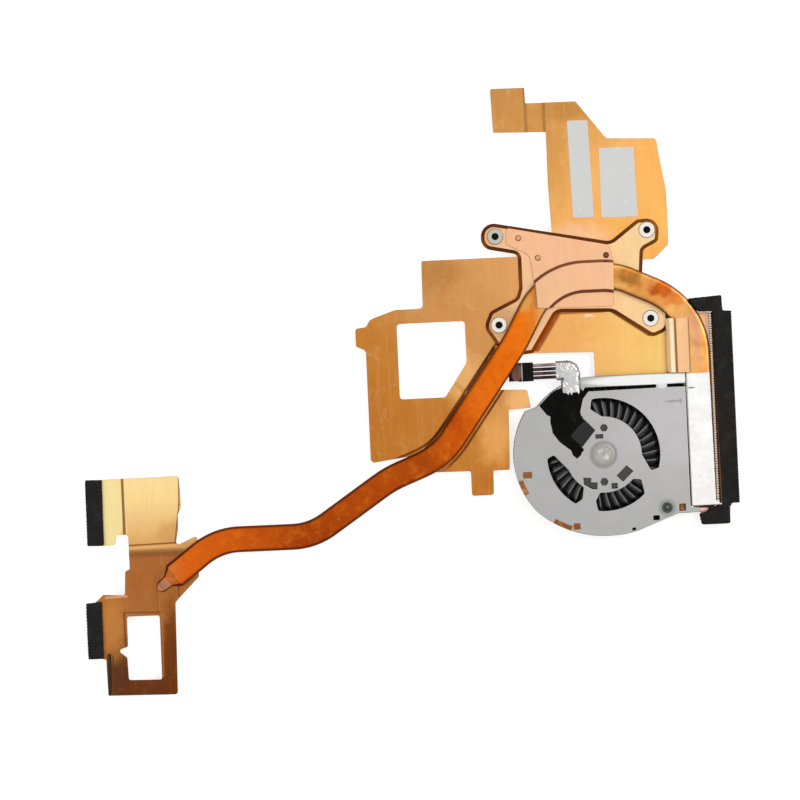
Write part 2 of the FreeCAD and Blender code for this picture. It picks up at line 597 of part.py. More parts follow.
def fan_cover():
    """The steel cover: three inlets, a slit that bends down beside the lead, windows and slots for the tabs."""
    outline = fan_outline()
    z, t = COVER_Z - 1, COVER_T + 2
    cuts = [inlet(*shape) for shape in INLETS]
    slit_low, slit_high = SLIT_Y - SLIT_W / 2, SLIT_Y + SLIT_W / 2
    cuts.append(plate([(0.2, slit_low - 2.8), (1.6, slit_low - 2.8), (3.6, slit_low - 0.3), (28.0, slit_low),
                       (28.0, slit_high), (2.4, slit_high)], z, t))
    cuts.append(box(32.0, slit_low, z, OUTLET_X + 1, slit_high, z + t))
    cuts += [plate(hexagon(x, y, r), z, t) for x, y, r in BOARD_STUDS]
    cuts += [plate(window, z, t) for window in BOARD_WINDOWS]
    cuts.append(disc(-1.6, -63.4, 1.1, z, t))
    cuts.append(disc(HUB_X, HUB_Y, TUBE_R + FIT_GAP, z, t))
    cuts.append(disc(SCREW_X, SCREW_Y, SCREW_SHANK_R + FIT_GAP, z, t))
    cuts += [box(x - w / 2, y - d / 2, z, x + w / 2, y + d / 2, z + t) for x, y, w, d in tab_spots()]
    cuts.append(rim_band(TRAY_WALL, z, t).common(crimp_sectors(FIT_GAP)))
    lid = fuse([prism(outline, COVER_Z, COVER_T), box(OUTLET_X - 1, -86.4, COVER_Z, OUTLET_X + 3.2, -84.6, PIPE_TOP)])
    lid = lid.makeFillet(COVER_EDGE_R, [e for e in lid.Edges if e.BoundBox.ZMin > PIPE_TOP - 0.01])
    bead = ring(HUB_X, HUB_Y, HUB_RING_R, HUB_RING_R - 0.5, PIPE_TOP, BEAD_H)
    boss = ring(SCREW_X, SCREW_Y, SCREW_R + 0.6, SCREW_R + 0.2, PIPE_TOP, BEAD_H)
    return fuse([lid.cut(Part.makeCompound(cuts)), bead, boss])


def fan_screw():
    head = Part.makeCone(SCREW_R, SCREW_R * 0.8, SCREW_HEAD_H, Vector(SCREW_X, SCREW_Y, PIPE_TOP))
    shank = disc(SCREW_X, SCREW_Y, SCREW_SHANK_R, TRAY_T, PIPE_TOP - TRAY_T)
    recess = plate(hexagon(SCREW_X, SCREW_Y, SCREW_R * 0.62), PIPE_TOP + 0.1, SCREW_HEAD_H)
    return fuse([head, shank]).cut(recess)


# Motor, hung from the cover


def rotor_floor():
    return TRAY_T + ROTOR_GAP


def blade(bottom, height):
    """One thin swept vane from the hub to the rim, leaning forward: a bent strip pushed up at a slant."""
    root, rim = HUB_R - 0.2, BLADE_OUT_R

    def edge(shift):
        spots = []
        for k in range(4):
            radius = root + (rim - root) * k / 3
            angle = math.radians(BLADE_SWEEP * (k / 3) ** 2) + shift / radius
            spots.append(Vector(HUB_X + radius * math.cos(angle), HUB_Y + radius * math.sin(angle), bottom))
        return spots

    outline = edge(BLADE_T / 2) + edge(-BLADE_T / 2)[::-1]
    face = Part.Face(Part.makePolygon(outline + outline[:1]))
    return face.extrude(Vector(0, BLADE_LEAN, height))


def impeller():
    """Hub cup, curved vanes and the rim ring that ties their tips."""
    z = rotor_floor()
    top = COVER_Z - BLADE_TOP_GAP
    hub = ring(HUB_X, HUB_Y, HUB_R, HUB_R - HUB_WALL, z, top - z)
    floor = disc(HUB_X, HUB_Y, HUB_R, z, HUB_WALL)
    rim = ring(HUB_X, HUB_Y, BLADE_OUT_R, BLADE_OUT_R - 1.2, z, 0.5)
    first = blade(z, top - z)
    vanes = []
    for k in range(BLADE_COUNT):
        vane = first.copy()
        vane.rotate(Vector(HUB_X, HUB_Y, 0), UP, 360.0 * k / BLADE_COUNT)
        vanes.append(vane)
    return fuse([hub, floor, rim] + vanes)


def cup_floor():
    return rotor_floor() + HUB_WALL


def rotor_cup():
    z, outer = cup_floor(), HUB_R - HUB_WALL - FIT_GAP
    top = COVER_Z - BLADE_TOP_GAP
    shell = disc(HUB_X, HUB_Y, outer, z, top - z).cut(disc(HUB_X, HUB_Y, outer - CUP_T, z + CUP_T, top))
    return shell.cut(disc(HUB_X, HUB_Y, SHAFT_R + FIT_GAP / 2, z, CUP_T))


def magnet_outer():
    return HUB_R - HUB_WALL - CUP_T - 2 * FIT_GAP


def rotor_magnet():
    return ring(HUB_X, HUB_Y, magnet_outer(), magnet_outer() - MAGNET_T, cup_floor() + CUP_T, MAGNET_H)


def rotor_shaft():
    return disc(HUB_X, HUB_Y, SHAFT_R, cup_floor(), PIPE_TOP - COVER_T - cup_floor() - 0.6)


def tube_foot():
    return cup_floor() + CUP_T + AIR_GAP


def bearing_tube():
    """The brass post riveted into the cover; it holds the sleeve and carries the stator."""
    post = disc(HUB_X, HUB_Y, TUBE_R, tube_foot(), PIPE_TOP - tube_foot())
    return post.cut(disc(HUB_X, HUB_Y, SLEEVE_R + FIT_GAP, tube_foot(), PIPE_TOP))


def sleeve_bearing():
    return ring(HUB_X, HUB_Y, SLEEVE_R, SHAFT_R + SHAFT_RUN, tube_foot(), COVER_Z - tube_foot() - 0.4)


def hub_cap():
    """A pressed cap over the bearing, with a raised ring."""
    pressed = ring(HUB_X, HUB_Y, HUB_CAP_R * 0.72, HUB_CAP_R * 0.55, PIPE_TOP, 0.35)
    return fuse([disc(HUB_X, HUB_Y, HUB_CAP_R, PIPE_TOP, 0.22), pressed])


def stator_z():
    return tube_foot() + 0.5


def stator_core():
    """Laminated star of wide-toothed poles on the bearing post."""
    tip = magnet_outer() - MAGNET_T - AIR_GAP
    z = stator_z()
    hub = disc(HUB_X, HUB_Y, TUBE_R + 1.0, z, STATOR_H)
    shoes = ring(HUB_X, HUB_Y, tip, tip - SHOE_T, z, STATOR_H)
    arms, slots = [], []
    for k in range(POLE_COUNT):
        arm = box(HUB_X + TUBE_R, HUB_Y - POLE_W / 2, z, HUB_X + tip - SHOE_T / 2, HUB_Y + POLE_W / 2, z + STATOR_H)
        arm.rotate(Vector(HUB_X, HUB_Y, 0), UP, 360.0 * k / POLE_COUNT)
        slot = box(HUB_X + tip - 1.4, HUB_Y - SLOT_W / 2, z, HUB_X + tip + 1, HUB_Y + SLOT_W / 2, z + STATOR_H)
        slot.rotate(Vector(HUB_X, HUB_Y, 0), UP, 360.0 * (k + 0.5) / POLE_COUNT)
        arms.append(arm)
        slots.append(slot)
    star = fuse([hub, shoes] + arms).cut(Part.makeCompound(slots))
    return star.cut(disc(HUB_X, HUB_Y, TUBE_R + FIT_GAP, z, STATOR_H))


def stator_coils():
    """One winding to each pole, between the hub and the shoe."""
    tip = magnet_outer() - MAGNET_T - AIR_GAP
    z, start, end = stator_z(), TUBE_R + 1.15, tip - 0.95
    coils = []
    for k in range(POLE_COUNT):
        half = COIL_W / 2
        coil = box(HUB_X + start, HUB_Y - half, z - 0.4, HUB_X + end, HUB_Y + half, z + STATOR_H + 0.4)
        hole = POLE_W / 2 + FIT_GAP
        bore = box(HUB_X + start, HUB_Y - hole, z - FIT_GAP, HUB_X + end, HUB_Y + hole, z + STATOR_H + FIT_GAP)
        coil = coil.cut(bore)
        coil.rotate(Vector(HUB_X, HUB_Y, 0), UP, 360.0 * k / POLE_COUNT)
        coils.append(coil)
    return Part.makeCompound(coils)


def motor_board():
    return ring(HUB_X, HUB_Y, BOARD_R, TUBE_R + FIT_GAP, COVER_Z - BOARD_T, BOARD_T)


# Lead


def plug_middle():
    return SEAT_Z - PLUG_T / 2 - 0.1


def plug_housing():
    """The lead's plug lies below the pipe, with its nose cut off along the edge of the side sheet."""
    low = plug_middle() - PLUG_T / 2
    body = box(PLUG_BACK_X, LEAD_Y - PLUG_HALF, low, PLUG_FRONT_X, LEAD_Y + PLUG_HALF, low + PLUG_T)
    nose = plate([(PLUG_BACK_X, LEAD_Y + 3.2), (PLUG_BACK_X - 0.5, LEAD_Y + 3.2), (PLUG_BACK_X - 3.2, LEAD_Y - 0.6),
                  (PLUG_BACK_X - 3.2, LEAD_Y - 3.2), (PLUG_BACK_X, LEAD_Y - 3.2)], low + 0.3, PLUG_T - 0.6)
    key = box(PLUG_FRONT_X - 2.8, LEAD_Y - PLUG_HALF, low + PLUG_T, PLUG_FRONT_X - 1.8, LEAD_Y + PLUG_HALF,
              low + PLUG_T + 0.25)
    return fuse([body, nose, key])


def lead_wires():
    """The four wires run out of the plug, up over the fan's edge, round a bend and down to the tape."""
    y, low, high = LEAD_Y, plug_middle(), PIPE_TOP + WIRE_R
    wires = []
    for k in range(WIRE_COUNT):
        side = (k - (WIRE_COUNT - 1) / 2) * WIRE_PITCH
        turn_x = LEAD_X + side
        points = [(PLUG_FRONT_X, y + side, 0, low), (-12.6, y + side, 2.6, low), (-8.6, y + side, 2.6, high),
                  (turn_x, y + side, 1.6, high), (turn_x, -39.4, 0, high)]
        spine = corners(points, closed=False)
        section = Part.Wire(Part.makeCircle(WIRE_R, Vector(*points[0][:2], low), Vector(1, 0, 0)))
        wires.append(spine.makePipeShell([section], True, False))
    return Part.makeCompound(wires)


def lead_tape():
    """Black tape that holds the lead on the cover and covers its way to the hub."""
    outline = [(-14.3, -45.6), (-9.8, -41.3), (-5.6, -39.4), (0.4, -39.4), (2.1, -41.6), (0.4, -48.4),
               (-4.6, -57.2), (-0.3, -61.6), (0.1, -64.0), (-1.5, -65.4), (-3.0, -64.1), (-3.6, -62.3),
               (-7.4, -59.2), (-9.9, -55.7), (-10.6, -51.5), (-10.4, -49.6), (-11.6, -49.2)]
    high = 2 * WIRE_R
    humps = [(-80, 0.2), (-62, 0.25), (-55, 0.5), (-46, high), (0, high)]
    return folded(outline, [(y, PIPE_TOP, PIPE_TOP + rise) for y, rise in humps], "y")


def motor_flex():
    """A thin flat cable on the cover beside the tape."""
    return plate([(1.2, -50.8), (5.5, -55.3), (0.5, -61.2), (-3.9, -57.2), (0.9, -49.8)], PIPE_TOP, FLEX_T)


# Far chip bracket


def chip_plate():
    """The bracket over the far chip: a seat below the pipe with a frame, and a wing one step lower."""
    outline = [(-176.4, -65.2, 0.6), (-145.2, -65.0, 1), (-144.7, -76.0, 1), (-146.1, -79.0, 0.5),
               (-146.2, -84.0, 1), (-147.5, -90.4, 1), (-139.4, -86.6, 1), (-139.4, -101.6, 1),
               (-148.3, -110.4, 2), (-148.9, -143.6, 1), (-173.9, -143.0, 0.4), (-174.1, -130.0, 0.4),
               (-177.6, -129.2, 0.4), (-177.6, -109.8, 0.4), (-174.2, -106.6, 0.6), (-166.4, -107.2, 0.8),
               (-165.9, -98.6, 0.6), (-164.2, -97.8, 0.5), (-164.3, -85.4, 1.2), (-168.8, -85.3, 0.8),
               (-169.0, -89.0, 1), (-176.6, -89.0, 0.4)]
    window = [(-166.0, -114.8, 0.8), (-154.2, -114.9, 0.8), (-154.3, -138.0, 0.8), (-166.3, -137.7, 0.8),
              (-166.5, -129.6, 1), (-169.8, -126.9, 0.8), (-166.1, -125.6, 0.6)]
    seat, wing = SEAT_Z - CHIP_SHEET_T, SEAT_Z - CHIP_SHEET_T - CHIP_STEP
    levels = steps([(-200, seat), (-92.4, seat), (-91.0, wing), (0, wing)], CHIP_SHEET_T)
    beads = [ribbon(CHIP_CHANNEL, BEAD_W / 2, SEAT_Z, 2 * BEAD_H)]
    for x in CHIP_CREASES:
        beads.append(ribbon([(x, -138.4, 0), (x, -143.0, 0)], BEAD_W / 4, SEAT_Z, BEAD_H))
    crease = box(-165.9, -85.2, SEAT_Z - CHIP_STEP - 0.2, -165.1, -60, SEAT_Z)
    sheet = folded(outline, levels, "y").cut(plate(window, -1, PIPE_TOP)).cut(crease)
    return fuse([sheet] + [bead.common(plate(outline, 0, PIPE_TOP)) for bead in beads])


def chip_contact_block():
    x, y, w, d = CHIP_BLOCK
    return box(x - w / 2, y - d / 2 + 0.5, 0, x + w / 2, y + d / 2 - 0.5, SEAT_Z - CHIP_SHEET_T)


def bracket_foams():
    wing = SEAT_Z - CHIP_STEP
    upper = plate([(-179.0, -65.0, 0.4), (-172.7, -65.2, 0.4), (-173.0, -89.0, 0.4), (-179.2, -88.9, 0.4)], wing, PAD_H)
    lower = plate([(-180.6, -109.4, 0.4), (-174.6, -109.0, 0.4), (-174.8, -129.6, 0.4), (-180.6, -129.6, 0.4)],
                  SEAT_Z, PAD_H)
    return upper, lower


def model():
    tall_label, wide_label = labels()
    upper_foam, lower_foam = bracket_foams()
    return {
        "heat_pipe": heat_pipe(), "cpu_base_plate": cpu_base_plate(), "mounting_bushes": mounting_bushes(),
        "pipe_saddle": pipe_saddle(), "saddle_rivets": saddle_rivets(), "cpu_contact_block": cpu_contact_block(),
        "label_plate": label_plate(), "side_plate": side_plate(), "duct_plate": duct_plate(),
        "tall_label": tall_label, "wide_label": wide_label, "foot_pad": foot_pad(),
        "fin_stack": fin_stack(), "outlet_foam": outlet_foam(), "sealing_tape": sealing_tape(),
        "fan_tray": fan_tray(), "fan_cover": fan_cover(), "fan_screw": fan_screw(), "impeller": impeller(),
        "rotor_cup": rotor_cup(), "rotor_magnet": rotor_magnet(), "rotor_shaft": rotor_shaft(),
        "bearing_tube": bearing_tube(), "sleeve_bearing": sleeve_bearing(), "hub_cap": hub_cap(),
        "stator_core": stator_core(), "stator_coils": stator_coils(), "motor_board": motor_board(),
        "plug_housing": plug_housing(), "lead_wires": lead_wires(), "lead_tape": lead_tape(),
        "motor_flex": motor_flex(), "chip_plate": chip_plate(), "chip_contact_block": chip_contact_block(),
        "upper_foam_pad": upper_foam, "lower_foam_pad": lower_foam,
    }


os.makedirs("parts", exist_ok=True)
for node, shape in model().items():
    shape.exportStep(f"parts/{node}.step")
    print(f"{node}: {len(shape.Solids)} solids, {shape.Volume:.1f} mm3, valid {shape.isValid()}")
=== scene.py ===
import math
import bpy
import bmesh
import numpy as np
from mathutils import Matrix, Vector


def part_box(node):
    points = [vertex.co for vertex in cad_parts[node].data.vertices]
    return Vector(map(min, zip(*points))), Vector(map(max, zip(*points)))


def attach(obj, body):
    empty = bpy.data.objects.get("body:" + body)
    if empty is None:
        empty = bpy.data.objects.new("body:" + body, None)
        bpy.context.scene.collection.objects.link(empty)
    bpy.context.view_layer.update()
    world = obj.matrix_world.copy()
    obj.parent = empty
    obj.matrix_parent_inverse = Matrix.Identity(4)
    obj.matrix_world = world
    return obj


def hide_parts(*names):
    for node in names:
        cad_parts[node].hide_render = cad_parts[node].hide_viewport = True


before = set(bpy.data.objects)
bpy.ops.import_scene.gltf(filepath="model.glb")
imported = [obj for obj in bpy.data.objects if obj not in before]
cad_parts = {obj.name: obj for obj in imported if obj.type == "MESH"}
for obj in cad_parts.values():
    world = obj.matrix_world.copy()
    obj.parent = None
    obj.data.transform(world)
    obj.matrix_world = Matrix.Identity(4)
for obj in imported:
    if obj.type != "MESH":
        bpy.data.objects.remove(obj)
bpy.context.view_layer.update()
mm = 0.001


# Camera, floor and light

view = {
    "middle": (-64.2, -41.3, 3.6),  # the point at the middle of the picture, mm
    "turn": 2.59,                   # degrees
    "distance": 1601.0,             # mm, straight up
    "lens": 200.0,
}


def placeCamera():
    turn = math.radians(view["turn"])
    right = Vector((math.cos(turn), -math.sin(turn), 0))
    up = Vector((math.sin(turn), math.cos(turn), 0))
    back = Vector((0, 0, 1))
    data = bpy.data.cameras.new("camera")
    data.lens, data.clip_start, data.clip_end = view["lens"], 0.01, 20
    camera = bpy.data.objects.new("camera", data)
    bpy.context.scene.collection.objects.link(camera)
    spot = Vector(view["middle"]) * mm + back * view["distance"] * mm
    camera.matrix_world = Matrix.Translation(spot) @ Matrix((right, up, back)).transposed().to_4x4()
    bpy.context.scene.camera = camera


class Socket:
    # one output of a material's nodes; sums on it add Math nodes

    def __init__(self, tree, socket=None):
        self.tree, self.socket = tree, socket

    def make(self, kind, settings=None, inputs=None, output=0):
        node = self.tree.nodes.new(kind)
        for name, setting in (settings or {}).items():
            if name == "stops":
                ramp = node.color_ramp
                while len(ramp.elements) < len(setting):
                    ramp.elements.new(1.0)
                for element, (position, colour) in zip(ramp.elements, setting):
                    element.position, element.color = position, colour
            else:
                setattr(node, name, setting)
        for name, given in (inputs or {}).items():
            if isinstance(given, Socket):
                self.tree.links.new(given.socket, node.inputs[name])
            else:
                node.inputs[name].default_value = given
        return Socket(self.tree, node.outputs[output] if len(node.outputs) else None)

    def sum(self, operation, first, second=0.0):
        return self.make("ShaderNodeMath", {"operation": operation}, {0: first, 1: second})

    def __add__(self, other):
        return self.sum("ADD", self, other)

    def __sub__(self, other):
        return self.sum("SUBTRACT", self, other)

    def __rsub__(self, other):
        return self.sum("SUBTRACT", other, self)

    def __mul__(self, other):
        return self.sum("MULTIPLY", self, other)

    def __truediv__(self, other):
        return self.sum("DIVIDE", self, other)

    __radd__, __rmul__ = __add__, __mul__


def colour(red, green, blue):
    # a colour as it shows on the screen, 0 to 255, turned into the light that it stands for
    parts = [c / 255 for c in (red, green, blue)]
    return tuple(c / 12.92 if c <= 0.04045 else ((c + 0.055) / 1.055) ** 2.4 for c in parts) + (1.0,)


def mixed(factor, first, second, blend="MIX"):
    maker = next(s for s in (factor, first, second) if isinstance(s, Socket))
    return maker.make("ShaderNodeMix", {"data_type": "RGBA", "blend_type": blend},
                      {0: factor, 6: first, 7: second}, 2)


def between(value, low, high, start=0.0, end=1.0):
    # a smooth step: start below low, end above high
    return value.make("ShaderNodeMapRange", {"interpolation_type": "SMOOTHSTEP"},
                      {"Value": value, "From Min": low, "From Max": high, "To Min": start, "To Max": end})


def moved(where, scale=(1, 1, 1), turn=0.0, shift=(0, 0, 0)):
    return where.make("ShaderNodeMapping", None,
                      {"Vector": where, "Scale": scale, "Rotation": (0, 0, math.radians(turn)), "Location": shift})


def noise(where, scale, detail=3.0, rough=0.5, distortion=0.0):
    return where.make("ShaderNodeTexNoise", None,
                      {"Vector": where, "Scale": scale, "Detail": detail, "Roughness": rough,
                       "Distortion": distortion})


def parts(where):
    node = where.make("ShaderNodeSeparateXYZ", None, {0: where}).socket.node
    return [Socket(where.tree, node.outputs[i]) for i in range(3)]


def spot(where, x, y, wide, tall, soft=0.5):
    # 1 inside an oval patch round (x, y), in mm, and 0 outside it, with a soft border
    flat = where.make("ShaderNodeMapping", {"vector_type": "TEXTURE"},
                      {"Vector": where, "Location": (x * mm, y * mm, 0), "Scale": (wide * mm, tall * mm, 1000)})
    reach = flat.make("ShaderNodeVectorMath", {"operation": "LENGTH"}, {0: flat}, 1)
    return between(reach, 1 - soft, 1 + soft, 1.0, 0.0)


def stroke(where, x0, y0, x1, y1, wide, soft=0.4):
    # 1 within `wide` mm of the line from (x0, y0) to (x1, y1), and 0 away from it, with a soft border
    flat = where.make("ShaderNodeMapping", {"vector_type": "TEXTURE"},
                      {"Vector": where, "Location": ((x0 + x1) / 2 * mm, (y0 + y1) / 2 * mm, 0),
                       "Rotation": (0, 0, math.atan2(y1 - y0, x1 - x0))})
    x, y, z = parts(flat)
    past = x.sum("ABSOLUTE", x) - math.hypot(x1 - x0, y1 - y0) / 2 * mm
    reach = x.make("ShaderNodeCombineXYZ", None, {0: past.sum("MAXIMUM", past, 0.0), 1: y, 2: 0.0})
    reach = x.make("ShaderNodeVectorMath", {"operation": "LENGTH"}, {0: reach}, 1)
    return between(reach, wide * (1 - soft) * mm, wide * (1 + soft) * mm, 1.0, 0.0)


def tones(where, low, high, stops):
    # colours that follow each other along the line from the point low to the point high, in mm
    a, b = np.array(low, float) * mm, np.array(high, float) * mm
    along = (b - a) / np.dot(b - a, b - a)
    dot = where.make("ShaderNodeVectorMath", {"operation": "DOT_PRODUCT"},
                     {0: where, 1: (along[0], along[1], 0)}, 1)
    return where.make("ShaderNodeValToRGB", {"stops": [(s, colour(*tint)) for s, tint in stops]},
                      {0: dot - float(np.dot(along, a))})


def edges(where, reach):
    # 1 within about `reach` mm of a sharp edge, and 0 on the open surface
    round_ = where.make("ShaderNodeBevel", {"samples": 4}, {"Radius": reach * mm})
    flat = where.make("ShaderNodeNewGeometry", output="Normal")
    return between(where.make("ShaderNodeVectorMath", {"operation": "DOT_PRODUCT"}, {0: round_, 1: flat}, 1),
                   0.8, 0.99, 1.0, 0.0)


def startFinish(name):
    material = bpy.data.materials.new(name)
    material.use_nodes = True
    material.node_tree.nodes.clear()
    start = Socket(material.node_tree)
    return material, start, start.make("ShaderNodeTexCoord", output="Object")


def endFinish(material, start, **sockets):
    names = {"colour": "Base Color", "roughness": "Roughness", "metallic": "Metallic", "normal": "Normal",
             "coat": "Coat Weight", "coatRoughness": "Coat Roughness", "sheen": "Sheen Weight",
             "specular": "Specular IOR Level", "anisotropic": "Anisotropic"}
    surface = start.make("ShaderNodeBsdfPrincipled", None, {names[k]: v for k, v in sockets.items()})
    start.make("ShaderNodeOutputMaterial", None, {"Surface": surface})
    return material


def bump(height, distance, strength=1.0, normal=None):
    inputs = {"Height": height, "Distance": distance * mm, "Strength": strength}
    if normal is not None:
        inputs["Normal"] = normal
    return height.make("ShaderNodeBump", None, inputs)


def upward(where):
    # 1 where the surface faces up or down, 0 on its sides
    normal = where.make("ShaderNodeTexCoord", output="Normal")
    return parts(normal)[2].sum("ABSOLUTE", parts(normal)[2])


# Copper

def copper(name, look):
    material, start, where = startFinish(name)
    tone = tones(where, *look["line"], look["tones"])
    drift = where.make("ShaderNodeTexNoise", None, {"Vector": where, "Scale": 230.0, "Detail": 4.0}, 1)
    loose = where.make("ShaderNodeVectorMath", {"operation": "MULTIPLY_ADD"},
                       {0: drift, 1: (7 * mm, 7 * mm, 0), 2: moved(where, shift=(-3.5 * mm, -3.5 * mm, 0))})
    for x, y, wide, tall, soft, tint, amount in look["patches"]:
        place = loose if soft > 0.35 else where
        tone = mixed(spot(place, x, y, wide, tall, soft) * amount, tone, colour(*tint))
    clouds = noise(where, 55, 4, 0.6, 0.4)
    stains = noise(where, 230, 5, 0.65, 0.8)
    tone = mixed(between(clouds, 0.42, 0.72) * look["clouds"], tone, colour(*look["deep"]), "MULTIPLY")
    tone = mixed(between(stains, 0.5, 0.78) * look["clouds"] * 0.6, tone, colour(*look["pale"]))
    for x0, y0, x1, y1, wide, tint, amount in look.get("strokes", ()):
        tone = mixed(stroke(where, x0, y0, x1, y1, wide) * amount, tone, colour(*tint))
    grain = noise(moved(where, look["grainSize"], look["grain"]), 1.0, 2, 0.5)
    streaks = noise(moved(where, look["streakSize"], look["grain"] + 4), 1.0, 3, 0.6)
    tone = mixed(between(streaks, 0.5, 0.8) * look["streaks"], tone, colour(*look["pale"]))
    scuffs = noise(moved(where, (60, 1500, 400), look["grain"] + 33), 1.0, 2, 0.55)
    rubbed = between(scuffs, 0.7, 0.78) * between(noise(where, 120, 2), 0.52, 0.66)
    tone = mixed(rubbed * look["rubs"], tone, colour(*look["pale"]))
    specks = between(noise(where, 1500, 2), 0.7, 0.77)
    tone = mixed(specks * 0.3, tone, colour(*look["rim"]))
    # the flanks get the rim colour: painted shade and the painted reflection of a dark room, with some heat tint of the
    # copper; the tint patches change it in places
    rim = colour(*look["rim"])
    for x, y, reach, tint in look.get("flankShadeTints", ()):
        rim = mixed(spot(where, x, y, reach, reach), rim, colour(*tint))
    tone = mixed(between(upward(where), *look["flank"]), rim, tone)
    # painted shade along sharp edges, in the rim colour
    if look["outline"]:
        tone = mixed(edges(where, look["reach"]) * look["outline"], tone, colour(*look["rim"]))
    if "shoulderShade" in look:  # painted shade on the rounded flanks, which fades out between the two x
        amount, tint, near, far = look["shoulderShade"]
        side = between(upward(where), 0.8, 0.9998, 1.0, 0.0)
        side = side * between(parts(where)[0], near * mm, far * mm, amount, 0.0)
        tone = mixed(side, tone, colour(*tint))
    if "inside" in look:
        up = parts(where.make("ShaderNodeTexCoord", output="Normal"))[2]
        well = between(up, 0.4, 0.7) * between(parts(where)[2], 0.003, 0.0035, 1.0, 0.0)
        tone = mixed(well, tone, colour(*look["inside"]))
    rough = look["roughness"] + (grain - 0.5) * 0.16 + (clouds - 0.5) * 0.22 + rubbed * 0.12
    normal = bump(noise(where, 40, 2, 0.4) + grain * 0.012 + scuffs * 0.006, look["waves"])
    return endFinish(material, start, colour=tone, roughness=rough, metallic=look["metal"], normal=normal)


sheetLook = {
    "line": ((-75, 0), (35, 0)), "patches": (), "deep": (214, 186, 150), "pale": (255, 214, 150),
    "rim": (112, 64, 28), "flank": (0.25, 0.8), "clouds": 0.3, "streaks": 0.1, "grain": 0.0, "roughness": 0.34,
    "waves": 0.5, "outline": 0.75, "reach": 0.3, "metal": 0.94, "rubs": 0.12, "grainSize": (2600, 90, 900),
    "streakSize": (700, 30, 300),
}
blockLook = {**sheetLook, "tones": ((0.0, (238, 160, 110)), (1.0, (246, 176, 128))), "roughness": 0.2,
             "clouds": 0.15, "waves": 0.1}

